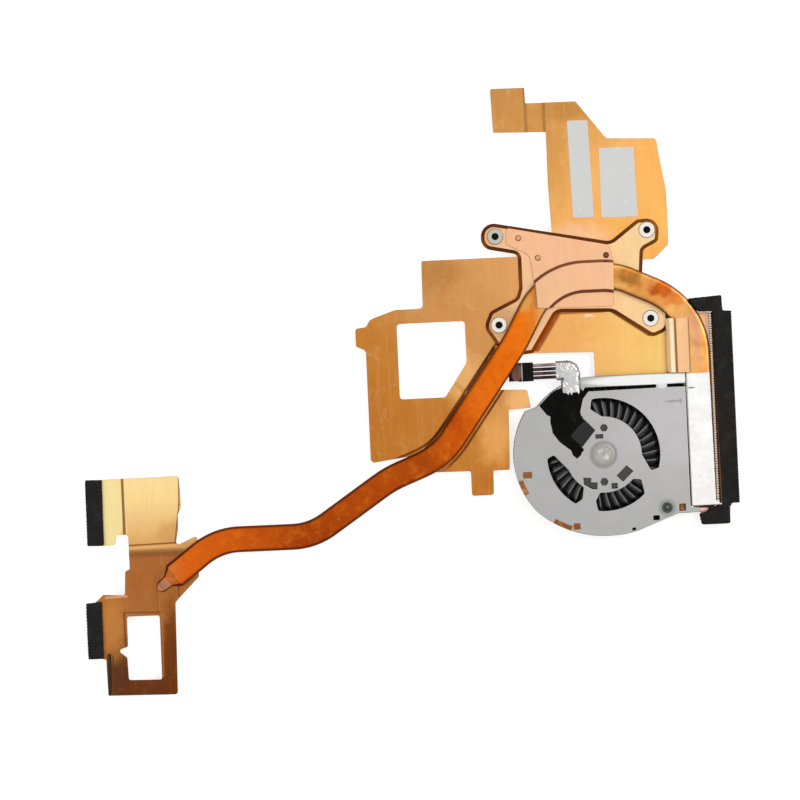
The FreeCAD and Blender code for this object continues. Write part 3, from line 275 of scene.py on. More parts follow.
looks = {
    "heat_pipe": {
        **sheetLook, "line": ((-150, 0), (50, 0)),
        "tones": ((0.0, (206, 120, 50)), (0.03, (208, 94, 16)), (0.12, (196, 86, 12)), (0.25, (164, 66, 6)),
                  (0.4, (172, 72, 8)), (0.47, (158, 66, 6)), (0.52, (196, 88, 10)), (0.6, (220, 106, 12)),
                  (0.655, (222, 108, 12)), (0.675, (206, 120, 40)), (0.69, (216, 156, 84)), (0.82, (228, 176, 98)),
                  (0.9, (230, 178, 98)), (0.955, (222, 176, 112)), (0.985, (238, 182, 102))),
        "patches": ((-149.0, -101.4, 1.5, 1.0, 0.5, (206, 168, 110), 0.5),
                    (-152.2, -105.2, 2.8, 2.6, 0.3, (178, 140, 118), 0.9),
                    (19.8, -0.8, 4.6, 3.2, 0.6, (158, 106, 44), 0.9), (31.4, -5.4, 4.0, 2.8, 0.4, (186, 82, 4), 0.9),
                    (36.0, -9.6, 3.4, 2.2, 0.5, (212, 112, 24), 0.7),
                    (37.6, -5.0, 2.0, 3.0, 0.6, (180, 116, 56), 0.6), (43.0, -22, 1.6, 9, 0.6, (206, 160, 140), 0.7),
                    (-17.6, -8.2, 1.8, 3.4, 0.5, (206, 152, 80), 0.8), (43.6, -85.6, 3.4, 2.2, 0.2, (244, 200, 190), 0.95),
                    # the last patch is painted shade at the end of the cover's slot
                    (38.5, -40.4, 1.2, 1.0, 0.3, (24, 18, 14), 0.95)),
        "deep": (196, 132, 80), "pale": (240, 134, 36), "rim": (86, 36, 8), "flank": (0.35, 0.98),
        "clouds": 0.6, "streaks": 0.25, "roughness": 0.46, "waves": 0.35, "outline": 0.6, "reach": 0.8,
        "shoulderShade": (0.9, (104, 38, 6), -70, -45), "grainSize": (420, 420, 420), "streakSize": (260, 190, 260)},
    "cpu_base_plate": {
        **sheetLook, "line": ((-32, 0), (32, 0)),
        "tones": ((0.0, (226, 174, 126)), (0.18, (242, 196, 152)), (0.3, (238, 188, 144)), (0.7, (244, 198, 142)),
                  (0.86, (240, 204, 150))),
        "patches": ((-26, -15, 6, 6, 0.5, (204, 152, 96), 0.75), (-22, 13, 7, 5, 0.5, (240, 198, 158), 0.7)),
        "deep": (232, 206, 180), "pale": (255, 222, 180),
        "rim": (118, 62, 26), "flank": (0.86, 0.985), "clouds": 0.25, "grain": 20.0, "outline": 0.0,
        "flankShadeTints": ((-10, -22, 11, (176, 74, 12)), (-18, -4, 7, (156, 80, 30)), (28, 18, 9, (150, 92, 34)),
                       (26, -19, 9, (146, 84, 30)))},
    "pipe_saddle": {
        **sheetLook, "tones": ((0.0, (238, 184, 140)), (1.0, (240, 188, 146))), "deep": (236, 208, 190),
        "pale": (252, 214, 180), "rim": (116, 62, 26), "flank": (0.3, 0.96), "clouds": 0.3, "grain": 60.0,
        "outline": 0.85,
        "strokes": ((-13.85, -0.8, -13.5, -10.4, 0.25, (112, 82, 62), 0.8),)},
    "saddle_rivets": {**sheetLook, "line": ((0, 0), (12, 0)), "tones": ((0.0, (226, 172, 130)), (1.0, (120, 70, 46))),
                      "rim": (110, 60, 34)},
    "cpu_contact_block": blockLook,
    "chip_contact_block": blockLook,
    "label_plate": {
        **sheetLook, "line": ((-26, 70), (20, 30)),
        "tones": ((0.0, (196, 138, 74)), (0.55, (212, 152, 80)), (0.8, (236, 174, 98)), (1.0, (240, 174, 92))),
        "patches": ((0.5, 61, 7, 4, 0.6, (186, 130, 62), 0.7), (3, 14, 10, 5, 0.6, (246, 194, 152), 0.85))},
    "side_plate": {
        **sheetLook, "line": ((-74, -60), (-18, 0)),
        "tones": ((0.0, (192, 118, 44)), (0.4, (200, 130, 54)), (0.6, (208, 146, 84)), (0.8, (212, 150, 86)),
                  (1.0, (222, 160, 96))),
        "patches": ((-50, 3, 9, 6, 0.7, (186, 130, 68), 0.8), (-20, -43, 6, 6, 0.5, (250, 190, 124), 0.8),
                    (-30, -56, 6, 9, 0.6, (240, 174, 100), 0.7), (-36, -74, 8, 6, 0.5, (194, 118, 44), 0.8),
                    (-41, -35, 7, 9, 0.6, (238, 180, 112), 0.85)),
        # the first three strokes are a painted shadow beside the pipe, the last is painted shade along a fold
        "strokes": ((-29.6, -24.3, -46.2, -48.2, 0.62, (108, 48, 16), 0.92), (-46.2, -48.2, -55.6, -59.2, 0.6, (112, 50, 16), 0.9),
                    (-55.6, -59.2, -66.0, -68.0, 0.55, (120, 58, 20), 0.8), (-40.6, -39.6, -43.6, -36.6, 0.9, (196, 142, 70), 0.6),
                    (-31.4, -40.9, -45.6, -60.0, 0.3, (146, 74, 40), 0.7))},
    "duct_plate": {
        **sheetLook, "line": ((-12, 0), (41, 0)),
        # a painted highlight on the climb of the flap, and painted shade in the thin line at its crease and at its
        # right edge
        "tones": ((0.0, (236, 168, 96)), (0.45, (242, 186, 108)), (0.83, (242, 202, 118)), (0.845, (244, 208, 158)),
                  (0.89, (244, 208, 158)), (0.897, (138, 88, 56)), (0.905, (138, 88, 56)), (0.913, (240, 192, 144)),
                  (0.985, (236, 186, 140)), (0.993, (128, 80, 58))),
        "flank": (0.1, 0.4), "patches": ((5.2, -14.2, 1.5, 0.7, 0.6, (255, 236, 206), 0.7),),
        # painted shadow along the base plate's tongue and arm, where they stand over this plate
        "strokes": ((-14.2, -24.8, -6.3, -12.5, 1.35, (146, 58, 8), 0.9), (-4.9, -12.6, 10.6, -12.6, 0.55, (150, 80, 36), 0.8),
                    (13.0, -12.5, 26.3, -21.8, 0.5, (130, 68, 28), 0.85), (26.3, -21.8, 28.0, -22.0, 0.45, (134, 72, 32), 0.8),
                    (28.0, -22.0, 32.2, -19.5, 0.45, (134, 72, 32), 0.8))},
    "chip_plate": {
        **sheetLook, "line": ((-160, -144), (-160, -65)),
        # the dark bottom is painted shade on the lower level of the sheet; the dark and light stops near 0.65 are
        # painted shade and highlight at a fold
        "tones": ((0.0, (98, 48, 18)), (0.2, (122, 68, 30)), (0.36, (172, 106, 50)), (0.63, (172, 104, 52)),
                  (0.65, (140, 84, 40)), (0.67, (214, 158, 92)), (0.74, (232, 184, 114)), (0.9, (253, 219, 150)),
                  (1.0, (255, 224, 157))),
        "patches": ((-171, -77, 5.2, 13, 0.12, (248, 228, 160), 0.9), (-147, -86, 6, 5, 0.6, (206, 150, 88), 0.6),
                    # these two patches are painted shade on the right frame and the bottom-left corner
                    (-150, -131, 3, 20, 0.5, (108, 52, 12), 0.8), (-171, -136, 6, 6.5, 0.25, (92, 52, 26), 0.9),
                    (-172, -118, 5, 11, 0.5, (196, 128, 62), 0.8)),
        "pale": (214, 162, 104), "clouds": 0.22,
        # painted shade and painted highlights along the folds and the window's edges, and a painted shadow on the
        # bent-down flange at the left
        "strokes": ((-165.6, -64.8, -165.6, -85.0, 0.42, (116, 76, 38), 0.85), (-164.8, -64.8, -164.8, -85.0, 0.2, (255, 228, 160), 0.6),
                    (-164.6, -89.3, -147.0, -89.0, 0.3, (132, 78, 34), 0.85), (-164.6, -90.3, -147.0, -90.0, 0.3, (240, 178, 116), 0.7),
                    (-173.0, -128.6, -173.5, -145.0, 0.75, (38, 28, 20), 0.95), (-171.6, -128.8, -171.8, -145, 0.3, (92, 52, 26), 0.8),
                    (-145.1, -64.8, -145.5, -75.4, 0.3, (126, 78, 40), 0.8), (-145.5, -75.4, -147.5, -89.0, 0.3, (126, 78, 40), 0.8),
                    (-167.0, -113.6, -166.8, -128.4, 0.35, (104, 62, 44), 0.8), (-166.6, -113.3, -153.8, -113.8, 0.3, (120, 66, 30), 0.7),
                    (-153.4, -113.8, -153.7, -136.8, 0.3, (176, 106, 56), 0.7), (-146.9, -96, -146.9, -144.6, 0.3, (112, 58, 26), 0.7),
                    (-173.3, -107.7, -165.8, -107.5, 0.35, (236, 176, 132), 0.7)),
        "rubs": 0.03},
    "fin_stack": {**sheetLook, "line": ((40, 0), (60, 0)),
                  # the dark band from 0.446 to 0.475 is a painted shadow of the foam on the fins
                  "tones": ((0.0, (246, 184, 136)), (0.36, (246, 188, 146)), (0.4, (255, 236, 216)), (0.441, (255, 232, 210)),
                            (0.446, (66, 34, 22)), (0.475, (60, 32, 22)), (0.49, (226, 164, 126)), (1.0, (226, 164, 126))),
                  "rim": (70, 30, 16), "flankShadeTints": tuple((59.5, y, 9.0, (190, 116, 72)) for y in range(-86, -8, 11)),
                  # a painted shade at the end of the cover's slot
                  "patches": ((38.4, -40.4, 1.2, 1.0, 0.3, (24, 18, 14), 0.95),),
                  "flank": (0.1, 0.5), "roughness": 0.38, "waves": 0.15, "outline": 0.0},
    "fan_tray": {**sheetLook, "tones": ((0.0, (170, 104, 50)), (1.0, (118, 64, 28))), "roughness": 0.42,
                 "clouds": 0.8,
                 # the first patch is painted shade at the end of the cover's slot
                 "patches": ((38.4, -40.4, 1.2, 1.0, 0.3, (24, 18, 14), 0.95), (35.5, -84.4, 1.8, 1.8, 0.3, (78, 36, 12), 0.95), (35.5, -85.4, 1.6, 0.6, 0.5, (52, 26, 14), 0.9)),
                 "inside": (36, 35, 34), "outline": 0.0},
    "winding": {**sheetLook, "tones": ((0.0, (176, 82, 34)), (1.0, (182, 88, 38))), "roughness": 0.3},
}


# Steel, plastic, paper and foam

def steel(name, look):
    material, start, where = startFinish(name)
    tone = mixed(noise(where, 70, 4, 0.6), colour(*look["low"]), colour(*look["high"]))
    for x, y, wide, tall, soft, tint, amount in look.get("patches", ()):
        tone = mixed(spot(where, x, y, wide, tall, soft) * amount, tone, colour(*tint))
    grain = noise(moved(where, (90, 3000, 900), look["grain"]), 1.0, 3, 0.55)
    specks = between(noise(where, 1300, 2), 0.68, 0.76)
    tone = mixed(specks * 0.35, tone, colour(*look["rim"]))
    # the sides are painted in the rim colour: painted shade and the painted reflection of a dark room, and a painted
    # shade along sharp edges
    tone = mixed(between(upward(where), 0.25, 0.85), colour(*look["rim"]), tone)
    if "outline" in look:
        tone = mixed(edges(where, 0.25) * look["outline"], tone, colour(*look["rim"]))
    rough = look["roughness"] + (grain - 0.5) * 0.2 + (noise(where, 160, 3) - 0.5) * 0.14
    normal = bump(noise(where, 35, 2, 0.4) + grain * 0.01, look["waves"])
    return endFinish(material, start, colour=tone, roughness=rough, metallic=look["metal"], normal=normal)


steelLooks = {
    "cover": {"low": (165, 165, 163), "high": (175, 174, 173), "rim": (84, 84, 84), "grain": 4.0,
              "roughness": 0.42, "waves": 0.25, "metal": 0.85, "outline": 0.45,
              "patches": ((30, -54, 17, 16, 0.6, (182, 180, 181), 0.8), (30.1, -84.3, 3.2, 3.2, 0.25, (142, 146, 143), 0.7),
                          # the patch at (24, -38.0) is a painted highlight on the cover's curved top strip
                          (24, -38.0, 21, 1.9, 0.2, (230, 231, 228), 0.9), (8.1, -64.2, 4.9, 4.9, 0.08, (132, 131, 127), 0.6),
                          (33.8, -46.1, 2.6, 0.4, 0.5, (140, 140, 139), 0.8),
                          (36.5, -46.1, 0.5, 0.9, 0.4, (140, 140, 139), 0.8),
                          (30.3, -40.4, 1.6, 0.9, 0.3, (214, 215, 212), 0.8))},
    "bush": {"low": (226, 222, 214), "high": (236, 232, 226), "rim": (90, 84, 76), "grain": 0.0,
             "roughness": 0.3, "waves": 0.1, "metal": 0.8,
             "patches": ((-27.35, 15.95, 5, 5, 0.2, (190, 185, 170), 0.9),)},
    "screw": {"low": (150, 152, 150), "high": (160, 162, 160), "rim": (60, 62, 60), "grain": 0.0,
              "roughness": 0.3, "waves": 0.1, "metal": 0.9,
              # the patch at (30.3, -84.1) is a painted highlight on the screw head
              "patches": ((30.1, -84.3, 1.5, 1.5, 0.15, (48, 54, 50), 0.95), (30.3, -84.1, 0.6, 0.6, 0.6, (118, 126, 122), 0.8))},
    "motor": {"low": (150, 150, 150), "high": (168, 168, 170), "rim": (90, 90, 92), "grain": 0.0,
              "roughness": 0.35, "waves": 0.1, "metal": 0.95},
    "brass": {"low": (200, 168, 96), "high": (214, 182, 110), "rim": (120, 92, 40), "grain": 0.0,
              "roughness": 0.3, "waves": 0.1, "metal": 0.95},
    "hubCap": {"low": (142, 140, 135), "high": (158, 156, 150), "rim": (104, 103, 99), "grain": 0.0,
               "roughness": 0.6, "waves": 0.1, "metal": 0.3,
               "patches": ((8.1, -64.2, 2.9, 2.9, 0.12, (164, 162, 155), 0.7), (9.0, -65.0, 0.9, 0.9, 0.6, (204, 202, 190), 0.7),
                           (8.3, -64.0, 0.5, 0.6, 0.5, (132, 129, 121), 0.7), (6.8, -62.9, 0.9, 0.5, 0.6, (196, 194, 184), 0.6))},
    "magnet": {"low": (58, 56, 55), "high": (66, 64, 62), "rim": (40, 38, 36), "grain": 0.0,
               "roughness": 0.55, "waves": 0.1, "metal": 0.3},
}


def plastic(name, low, high, roughness, fine=900, depth=0.03, wear=0.2, specular=0.3, litDisc=None, spots=()):
    material, start, where = startFinish(name)
    tone = mixed(noise(where, 90, 4, 0.6), colour(*low), colour(*high))
    if litDisc:  # outside this disc the vanes' tips are painted dark, a painted shade under the cover's edge
        tone = mixed(spot(where, *litDisc), colour(17, 17, 18), tone)
    for x, y, wide, tall, tint in spots:
        tone = mixed(spot(where, x, y, wide, tall, 0.2), tone, colour(*tint))
    skin = noise(where, fine, 3, 0.6)
    tone = mixed(between(noise(where, 420, 4, 0.7), 0.58, 0.76) * wear, tone, colour(*[min(255, c + 45) for c in high]))
    rough = roughness + (skin - 0.5) * 0.2
    return endFinish(material, start, colour=tone, roughness=rough, normal=bump(skin, depth), specular=specular)


def foam(name, low, high):
    material, start, where = startFinish(name)
    cells = where.make("ShaderNodeTexVoronoi", {"feature": "F1"}, {"Vector": where, "Scale": 2600.0})
    tone = mixed(between(cells, 0.1, 0.7), colour(*low), colour(*high))
    tone = mixed(between(noise(where, 260, 4), 0.45, 0.75) * 0.4, tone, colour(*[c + 16 for c in high]))
    return endFinish(material, start, colour=tone, roughness=0.95, specular=0.15,
                     normal=bump(cells + noise(where, 700, 3) * 0.6, 0.12))


def tape(name, low, high, roughness, streak, coat=0.25, specular=0.5):
    material, start, where = startFinish(name)
    tone = mixed(between(noise(where, 210, 4, 0.6), 0.35, 0.7), colour(*low), colour(*high))
    weave = noise(moved(where, (2400, 2400, 200), streak), 1.0, 2)
    return endFinish(material, start, colour=tone, roughness=roughness + (noise(where, 300, 3) - 0.5) * 0.25,
                     coat=coat, coatRoughness=0.2, specular=specular,
                     normal=bump(noise(where, 180, 3, 0.5) + weave * 0.03, 0.18))


def wireColours(name):
    material, start, where = startFinish(name)
    x, y, z = parts(where)
    across = (x + 2.6 * mm).sum("MAXIMUM", x + 2.6 * mm, y + 33.3 * mm)
    pick = across.make("ShaderNodeValToRGB", {"stops": (
        (0.0, colour(22, 20, 19)), (0.25, colour(86, 44, 32)), (0.5, colour(18, 17, 17)),
        (0.75, colour(148, 128, 120)))}, {0: (across + 3.0 * mm) / (6.0 * mm)})
    pick.socket.node.color_ramp.interpolation = "CONSTANT"
    return endFinish(material, start, colour=pick, roughness=0.38 + (noise(where, 400) - 0.5) * 0.2,
                     normal=bump(noise(where, 900, 3), 0.04))


def paint(nodes, material):
    for node in nodes.split():
        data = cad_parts[node].data
        data.materials.clear()
        data.materials.append(material)


def paintFrame():
    for node in ("heat_pipe", "cpu_base_plate", "pipe_saddle", "saddle_rivets", "cpu_contact_block",
                 "chip_contact_block", "label_plate", "side_plate", "duct_plate", "chip_plate", "fin_stack",
                 "fan_tray"):
        paint(node, copper(node, looks[node]))
    paint("stator_coils", copper("winding", looks["winding"]))
    paint("mounting_bushes", steel("bushSteel", steelLooks["bush"]))
    paint("fan_screw", steel("screwSteel", steelLooks["screw"]))
    paint("fan_cover", steel("coverSteel", steelLooks["cover"]))
    paint("rotor_cup rotor_shaft stator_core", steel("motorSteel", steelLooks["motor"]))
    paint("bearing_tube sleeve_bearing", steel("brass", steelLooks["brass"]))
    paint("hub_cap", steel("hubCap", steelLooks["hubCap"]))
    paint("rotor_magnet", steel("magnet", steelLooks["magnet"]))
    paint("impeller", plastic("fanPlastic", (86, 86, 88), (98, 98, 100), 0.55, specular=0.15,
                              litDisc=(8.1, -64.2, 18.9, 18.9, 0.03)))
    paint("motor_board", plastic("board", (46, 47, 47), (58, 58, 57), 0.5))
    paint("plug_housing", plastic("plugPlastic", (10, 7, 6), (18, 13, 11), 0.6, wear=0.1, specular=0.08,
                                    spots=((-21.9, -33.3, 1.7, 3.6, (104, 74, 62)), (-19.9, -33.3, 0.25, 3.6, (150, 146, 142)))))
    paint("motor_flex", plastic("flex", (26, 26, 27), (40, 40, 41), 0.6, wear=0.05, specular=0.15))
    paint("tall_label wide_label", plastic("paper", (182, 183, 182), (192, 192, 190), 0.6, 1800, 0.02, wear=0.3))
    paint("foot_pad", plastic("padRubber", (70, 70, 70), (84, 84, 82), 0.8, 1400, 0.06))
    paint("lead_wires", wireColours("wires"))
    paint("outlet_foam upper_foam_pad lower_foam_pad", foam("foam", (18, 17, 16), (34, 32, 30)))
    paint("sealing_tape", tape("whiteTape", (222, 220, 217), (234, 233, 231), 0.42, 10))
    paint("lead_tape", tape("blackTape", (3, 3, 2), (8, 8, 7), 0.5, 30, 0.0, 0.05))
    print("painted", len(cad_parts), "nodes")


def setStage():
    grid = 1.5
    data = bpy.data.meshes.new("floor")
    data.from_pydata([(-grid, -grid, 0), (grid, -grid, 0), (grid, grid, 0), (-grid, grid, 0)], [], [(0, 1, 2, 3)])
    data.transform(Matrix.Translation((view["middle"][0] * mm, view["middle"][1] * mm, -0.05 * mm)))
    floor = bpy.data.objects.new("floor", data)
    bpy.context.scene.collection.objects.link(floor)
    material = bpy.data.materials.new("floorPaper")
    material.use_nodes = True
    material.node_tree.nodes.clear()
    start = Socket(material.node_tree)
    rays = start.make("ShaderNodeLightPath").socket.node
    seen = Socket(start.tree, rays.outputs["Is Camera Ray"]) + Socket(start.tree, rays.outputs["Is Glossy Ray"])
    seen = seen + Socket(start.tree, rays.outputs["Is Transmission Ray"])
    where = start.make("ShaderNodeTexCoord", output="Object")
    # painted shade: under the four bushes the floor gets a dark colour and no glow, so that their bores look dark
    below = sum((spot(where, x, y, 2.0, 2.0, 0.1) for x in (-27.35, 27.35) for y in (-15.95, 15.95)), start=0.0)
    paper = start.make("ShaderNodeBsdfDiffuse", None, {"Color": (0.8, 0.8, 0.8, 1)})
    shade = start.make("ShaderNodeBsdfDiffuse", None, {"Color": mixed(below, (0.4, 0.4, 0.4, 1), (0.03, 0.035, 0.035, 1))})
    glow = start.make("ShaderNodeEmission", None, {"Color": mixed(below, (1, 1, 1, 1), (0, 0, 0, 1)),
                                                   "Strength": 0.72})
    white = start.make("ShaderNodeAddShader", None, {0: shade, 1: glow})
    surface = start.make("ShaderNodeMixShader", None, {0: seen.sum("MINIMUM", seen, 1.0), 1: paper, 2: white})
    start.make("ShaderNodeOutputMaterial", None, {"Surface": surface})
    data.materials.append(material)


def setLight():
    world = bpy.data.worlds.new("studio")
    bpy.context.scene.world = world
    world.use_nodes = True
    world.node_tree.nodes.clear()
    start = Socket(world.node_tree)
    direction = start.make("ShaderNodeTexCoord", output="Generated")
    x, y, z = parts(direction)
    dome = between(z, 0.05, 0.95, 0.25, 0.86) + x * 0.12 + y * 0.06
    rays = start.make("ShaderNodeLightPath").socket.node
    level = mixed(Socket(start.tree, rays.outputs["Is Camera Ray"]), start.make(
        "ShaderNodeCombineXYZ", None, {0: dome, 1: dome, 2: dome}), (1, 1, 1, 1))
    sky = start.make("ShaderNodeBackground", None, {"Color": level, "Strength": 1.0})
    start.make("ShaderNodeOutputWorld", None, {"Surface": sky})
    for name, spotAt, size, power in (("softboxRight", (520, 260, 700), 0.5, 5.0),
                                      ("softboxLeft", (-620, -300, 620), 0.4, 2.0)):
        data = bpy.data.lights.new(name, "AREA")
        data.shape, data.size, data.energy = "DISK", size, power
        lamp = bpy.data.objects.new(name, data)
        bpy.context.scene.collection.objects.link(lamp)
        lamp.location = Vector(spotAt) * mm
        aim = Vector(view["middle"]) * mm - lamp.location
        lamp.rotation_euler = aim.to_track_quat("-Z", "Y").to_euler()
    bpy.context.scene.view_settings.view_transform = "Standard"


# New pieces

def addPiece(name, points, faces, material, body="heatsink", smooth=True):
    mesh = bpy.data.meshes.new(name)
    mesh.from_pydata(np.asarray(points).tolist(), [], np.asarray(faces).tolist())
    return finishPiece(name, mesh, material, body, smooth)


def finishPiece(name, mesh, material, body, smooth=True):
    mesh.polygons.foreach_set("use_smooth", [smooth] * len(mesh.polygons))
    mesh.materials.clear()
    mesh.materials.append(material)
    piece = bpy.data.objects.new(name, mesh)
    bpy.context.scene.collection.objects.link(piece)
    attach(piece, body)
    return piece


def gridFaces(rows, columns, closed=False):
    # the quads of a grid of points, given row by row; closed joins the last column to the first
    index = np.arange(rows * columns).reshape(rows, columns)
    right = np.roll(index, -1, axis=1)
    if not closed:
        index, right = index[:, :-1], right[:, :-1]
    return np.stack([index[:-1], right[:-1], right[1:], index[1:]], axis=-1).reshape(-1, 4)


def ripple(points, size, seed, waves=18):
    # a sum of plane waves in seeded directions, about `size` mm long; it stays between -1 and 1
    random = np.random.default_rng(seed)
    directions = random.normal(size=(waves, 3))
    directions /= np.linalg.norm(directions, axis=1)[:, None]
    lengths = size * mm * random.uniform(0.6, 1.8, waves)
    phases = random.uniform(0, 2 * np.pi, waves)
    return np.sin(points @ (directions / lengths[:, None]).T * 2 * np.pi + phases).sum(axis=1) / (waves ** 0.5 * 1.6)


def softCopy(node, voxel, rounds):
    # a node's own mesh, merged, cut into even cells and rounded off
    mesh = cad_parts[node].data.copy()
    work = bmesh.new()
    work.from_mesh(mesh)
    bmesh.ops.remove_doubles(work, verts=work.verts, dist=1e-7)
    work.to_mesh(mesh)
    work.free()
    carrier = bpy.data.objects.new("carrier", mesh)
    bpy.context.scene.collection.objects.link(carrier)
    remesh = carrier.modifiers.new("cells", "REMESH")
    remesh.mode, remesh.voxel_size, remesh.adaptivity = "VOXEL", voxel * mm, 0.0
    smooth = carrier.modifiers.new("rounding", "SMOOTH")
    smooth.factor, smooth.iterations = 0.5, rounds
    made = bpy.data.meshes.new_from_object(carrier.evaluated_get(bpy.context.evaluated_depsgraph_get()))
    bpy.data.objects.remove(carrier)
    points = np.empty(len(made.vertices) * 3)
    made.vertices.foreach_get("co", points)
    normals = np.empty(len(made.vertices) * 3)
    made.vertices.foreach_get("normal", normals)
    return made, points.reshape(-1, 3), normals.reshape(-1, 3)


foamStrips = {"outlet_foam": ("outletFoam", 11), "upper_foam_pad": ("upperFoam", 12),
              "lower_foam_pad": ("lowerFoam", 13)}


def makeFoams():
    # each strip keeps its cut shape; its skin sinks in by shallow cells, and its long edge is nicked by the knife
    material = foam("foamSkin", (17, 16, 15), (32, 30, 28))
    for node, (name, seed) in foamStrips.items():
        mesh, points, normals = softCopy(node, 0.32, 3)
        depth = 0.05 * ripple(points, 1.3, seed) + 0.04 * ripple(points, 0.5, seed + 20) - 0.05
        nick = (np.abs((points[:, 1] / mm / 1.15) % 1.0 - 0.5) * 2) ** 2
        depth -= 0.3 * nick * (np.abs(normals[:, 0]) > 0.7)
        low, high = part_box(node)
        points = np.clip(points + normals * depth[:, None] * mm, low, high)
        if node == "outlet_foam":  # its ends are pressed against the pipe
            x, y = points[:, 0] / mm, points[:, 1] / mm
            points[:, 0] -= 0.9 * np.clip((47.0 - x) / 2.5, 0, 1) * np.clip((y + 15.0) / 0.8, 0, 1) * mm
            near = np.exp(-((x - 45.8) / 3.0) ** 2 - ((y + 86.0) / 1.7) ** 2)
            points[:, 0] -= 1.5 * near * mm
            points[:, 1] += 1.3 * near * mm
        mesh.vertices.foreach_set("co", points.ravel())
        piece = finishPiece(name, mesh, material, "heatsink")
        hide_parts(node)
    print("foam strips are cut")


ribLook = {"section": ((54.4, 7.2), (54.5, 7.48), (54.9, 7.54), (55.9, 7.54), (56.25, 7.4), (56.3, 7.0),
                       (56.3, 6.05), (54.4, 6.05)),
           "start": -14.6, "end": -83.6, "pitch": 0.9, "depth": 0.26}


def makeFoamRibs():
    # a section carried along the front of the fins; it sinks by depth * cos^2(pi y / pitch) between them
    section = np.array(ribLook["section"])
    rows, columns = 760, len(section)
    y = np.linspace(ribLook["start"], ribLook["end"], rows)
    sink = ribLook["depth"] * np.cos(np.pi * y / ribLook["pitch"]) ** 2
    sink[[0, -1]] = ribLook["depth"]
    x = np.broadcast_to(section[:, 0], (rows, columns)) - sink[:, None] * (section[:, 0] > 55.5)
    z = np.broadcast_to(section[:, 1], (rows, columns)) - sink[:, None] * (section[:, 1] > 7.3)
    points = np.stack([x, np.broadcast_to(y[:, None], (rows, columns)), z], axis=-1).reshape(-1, 3) * mm
    points[:, 2] += 0.02 * ripple(points, 1.2, 61) * mm
    faces = gridFaces(rows, columns, closed=True).tolist()
    faces += [list(range(columns))[::-1], list(range((rows - 1) * columns, rows * columns))]
    mesh = bpy.data.meshes.new("foamRibs")
    mesh.from_pydata(points.tolist(), [], faces)
    piece = finishPiece("foamRibs", mesh, foam("ribFoam", (15, 14, 13), (30, 28, 26)), "heatsink", False)
    print("foam is pressed into ribs along the fins")


def makeBlackTape():
    # the tape lies on the cover and lifts over the four wires, which come in from above and sink towards the hub
    mesh, points, normals = softCopy("lead_tape", 0.26, 2)
    x, y, z = (points / mm).T
    rise = np.interp(y, (-80, -62, -55, -46), (0.2, 0.25, 0.5, 1.2))
    fall = np.clip((y + 39.4) / -26.0, 0, 1)
    middle = -2.6 - 3.2 * np.clip(fall * 2.2, 0, 1)
    across = (x - middle) / (1 - 0.45 * fall)
    lift = np.exp(-(across / 3.1) ** 4) * (1.0 - 0.85 * fall)
    strands = 0.12 * np.cos(across / 1.5 * 2 * np.pi + np.pi) * np.exp(-(across / 2.6) ** 4) * (1 - fall)
    creases = 0.06 * ripple(points, 3.0, 4) + 0.03 * ripple(points, 1.0, 5)
    top = np.minimum(6.52 + 0.98 * lift, 6.4 + rise) + strands * lift + creases
    ragged = 0.35 * ripple(points, 0.9, 6) * (y > -41.5)
    share = np.clip((z - 6.4) / rise, 0, 1)
    points[:, 2] = (6.4 + share * (np.clip(top, 6.46, 7.6) - 6.4)) * mm
    points[:, 1] += ragged * mm
    # beside the motor's flex its right edge is drawn out over it, by the reach that the heights in `out` give
    row = ((y - y.min()) / 0.3).astype(int)
    right, left = np.full(row.max() + 1, -1e3), np.full(row.max() + 1, 1e3)
    np.maximum.at(right, row, x)
    np.minimum.at(left, row, x)
    share = np.clip((x - left[row]) / (right[row] - left[row] + 0.01), 0, 1) ** 2
    out = np.interp(y, (-63.6, -62.4, -57.4, -56.0, -53.9, -52.0, -50.4, -48.4), (0, 1.3, 1.3, 1.3, 2.1, 3.3, 1.4, 0))
    points[:, 0] += share * out * mm
    over = (share * out > 0.25) & (points[:, 2] > 6.43 * mm)
    points[:, 2] = np.where(over, np.maximum(points[:, 2], 6.6 * mm), points[:, 2])
    mesh.vertices.foreach_set("co", points.ravel())
    piece = finishPiece("leadTape", mesh, tape("blackTape", (3, 3, 2), (8, 8, 7), 0.5, 30, 0.0, 0.05),
                        "heatsink")
    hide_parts("lead_tape")
    print("the lead is taped down")


foilLook = {"route": ((-8.0, -33.3), (-3.0, -33.3), (-2.6, -33.9), (-2.6, -41.6)), "half": 3.5, "top": 7.68,
            "crease": 0.1}


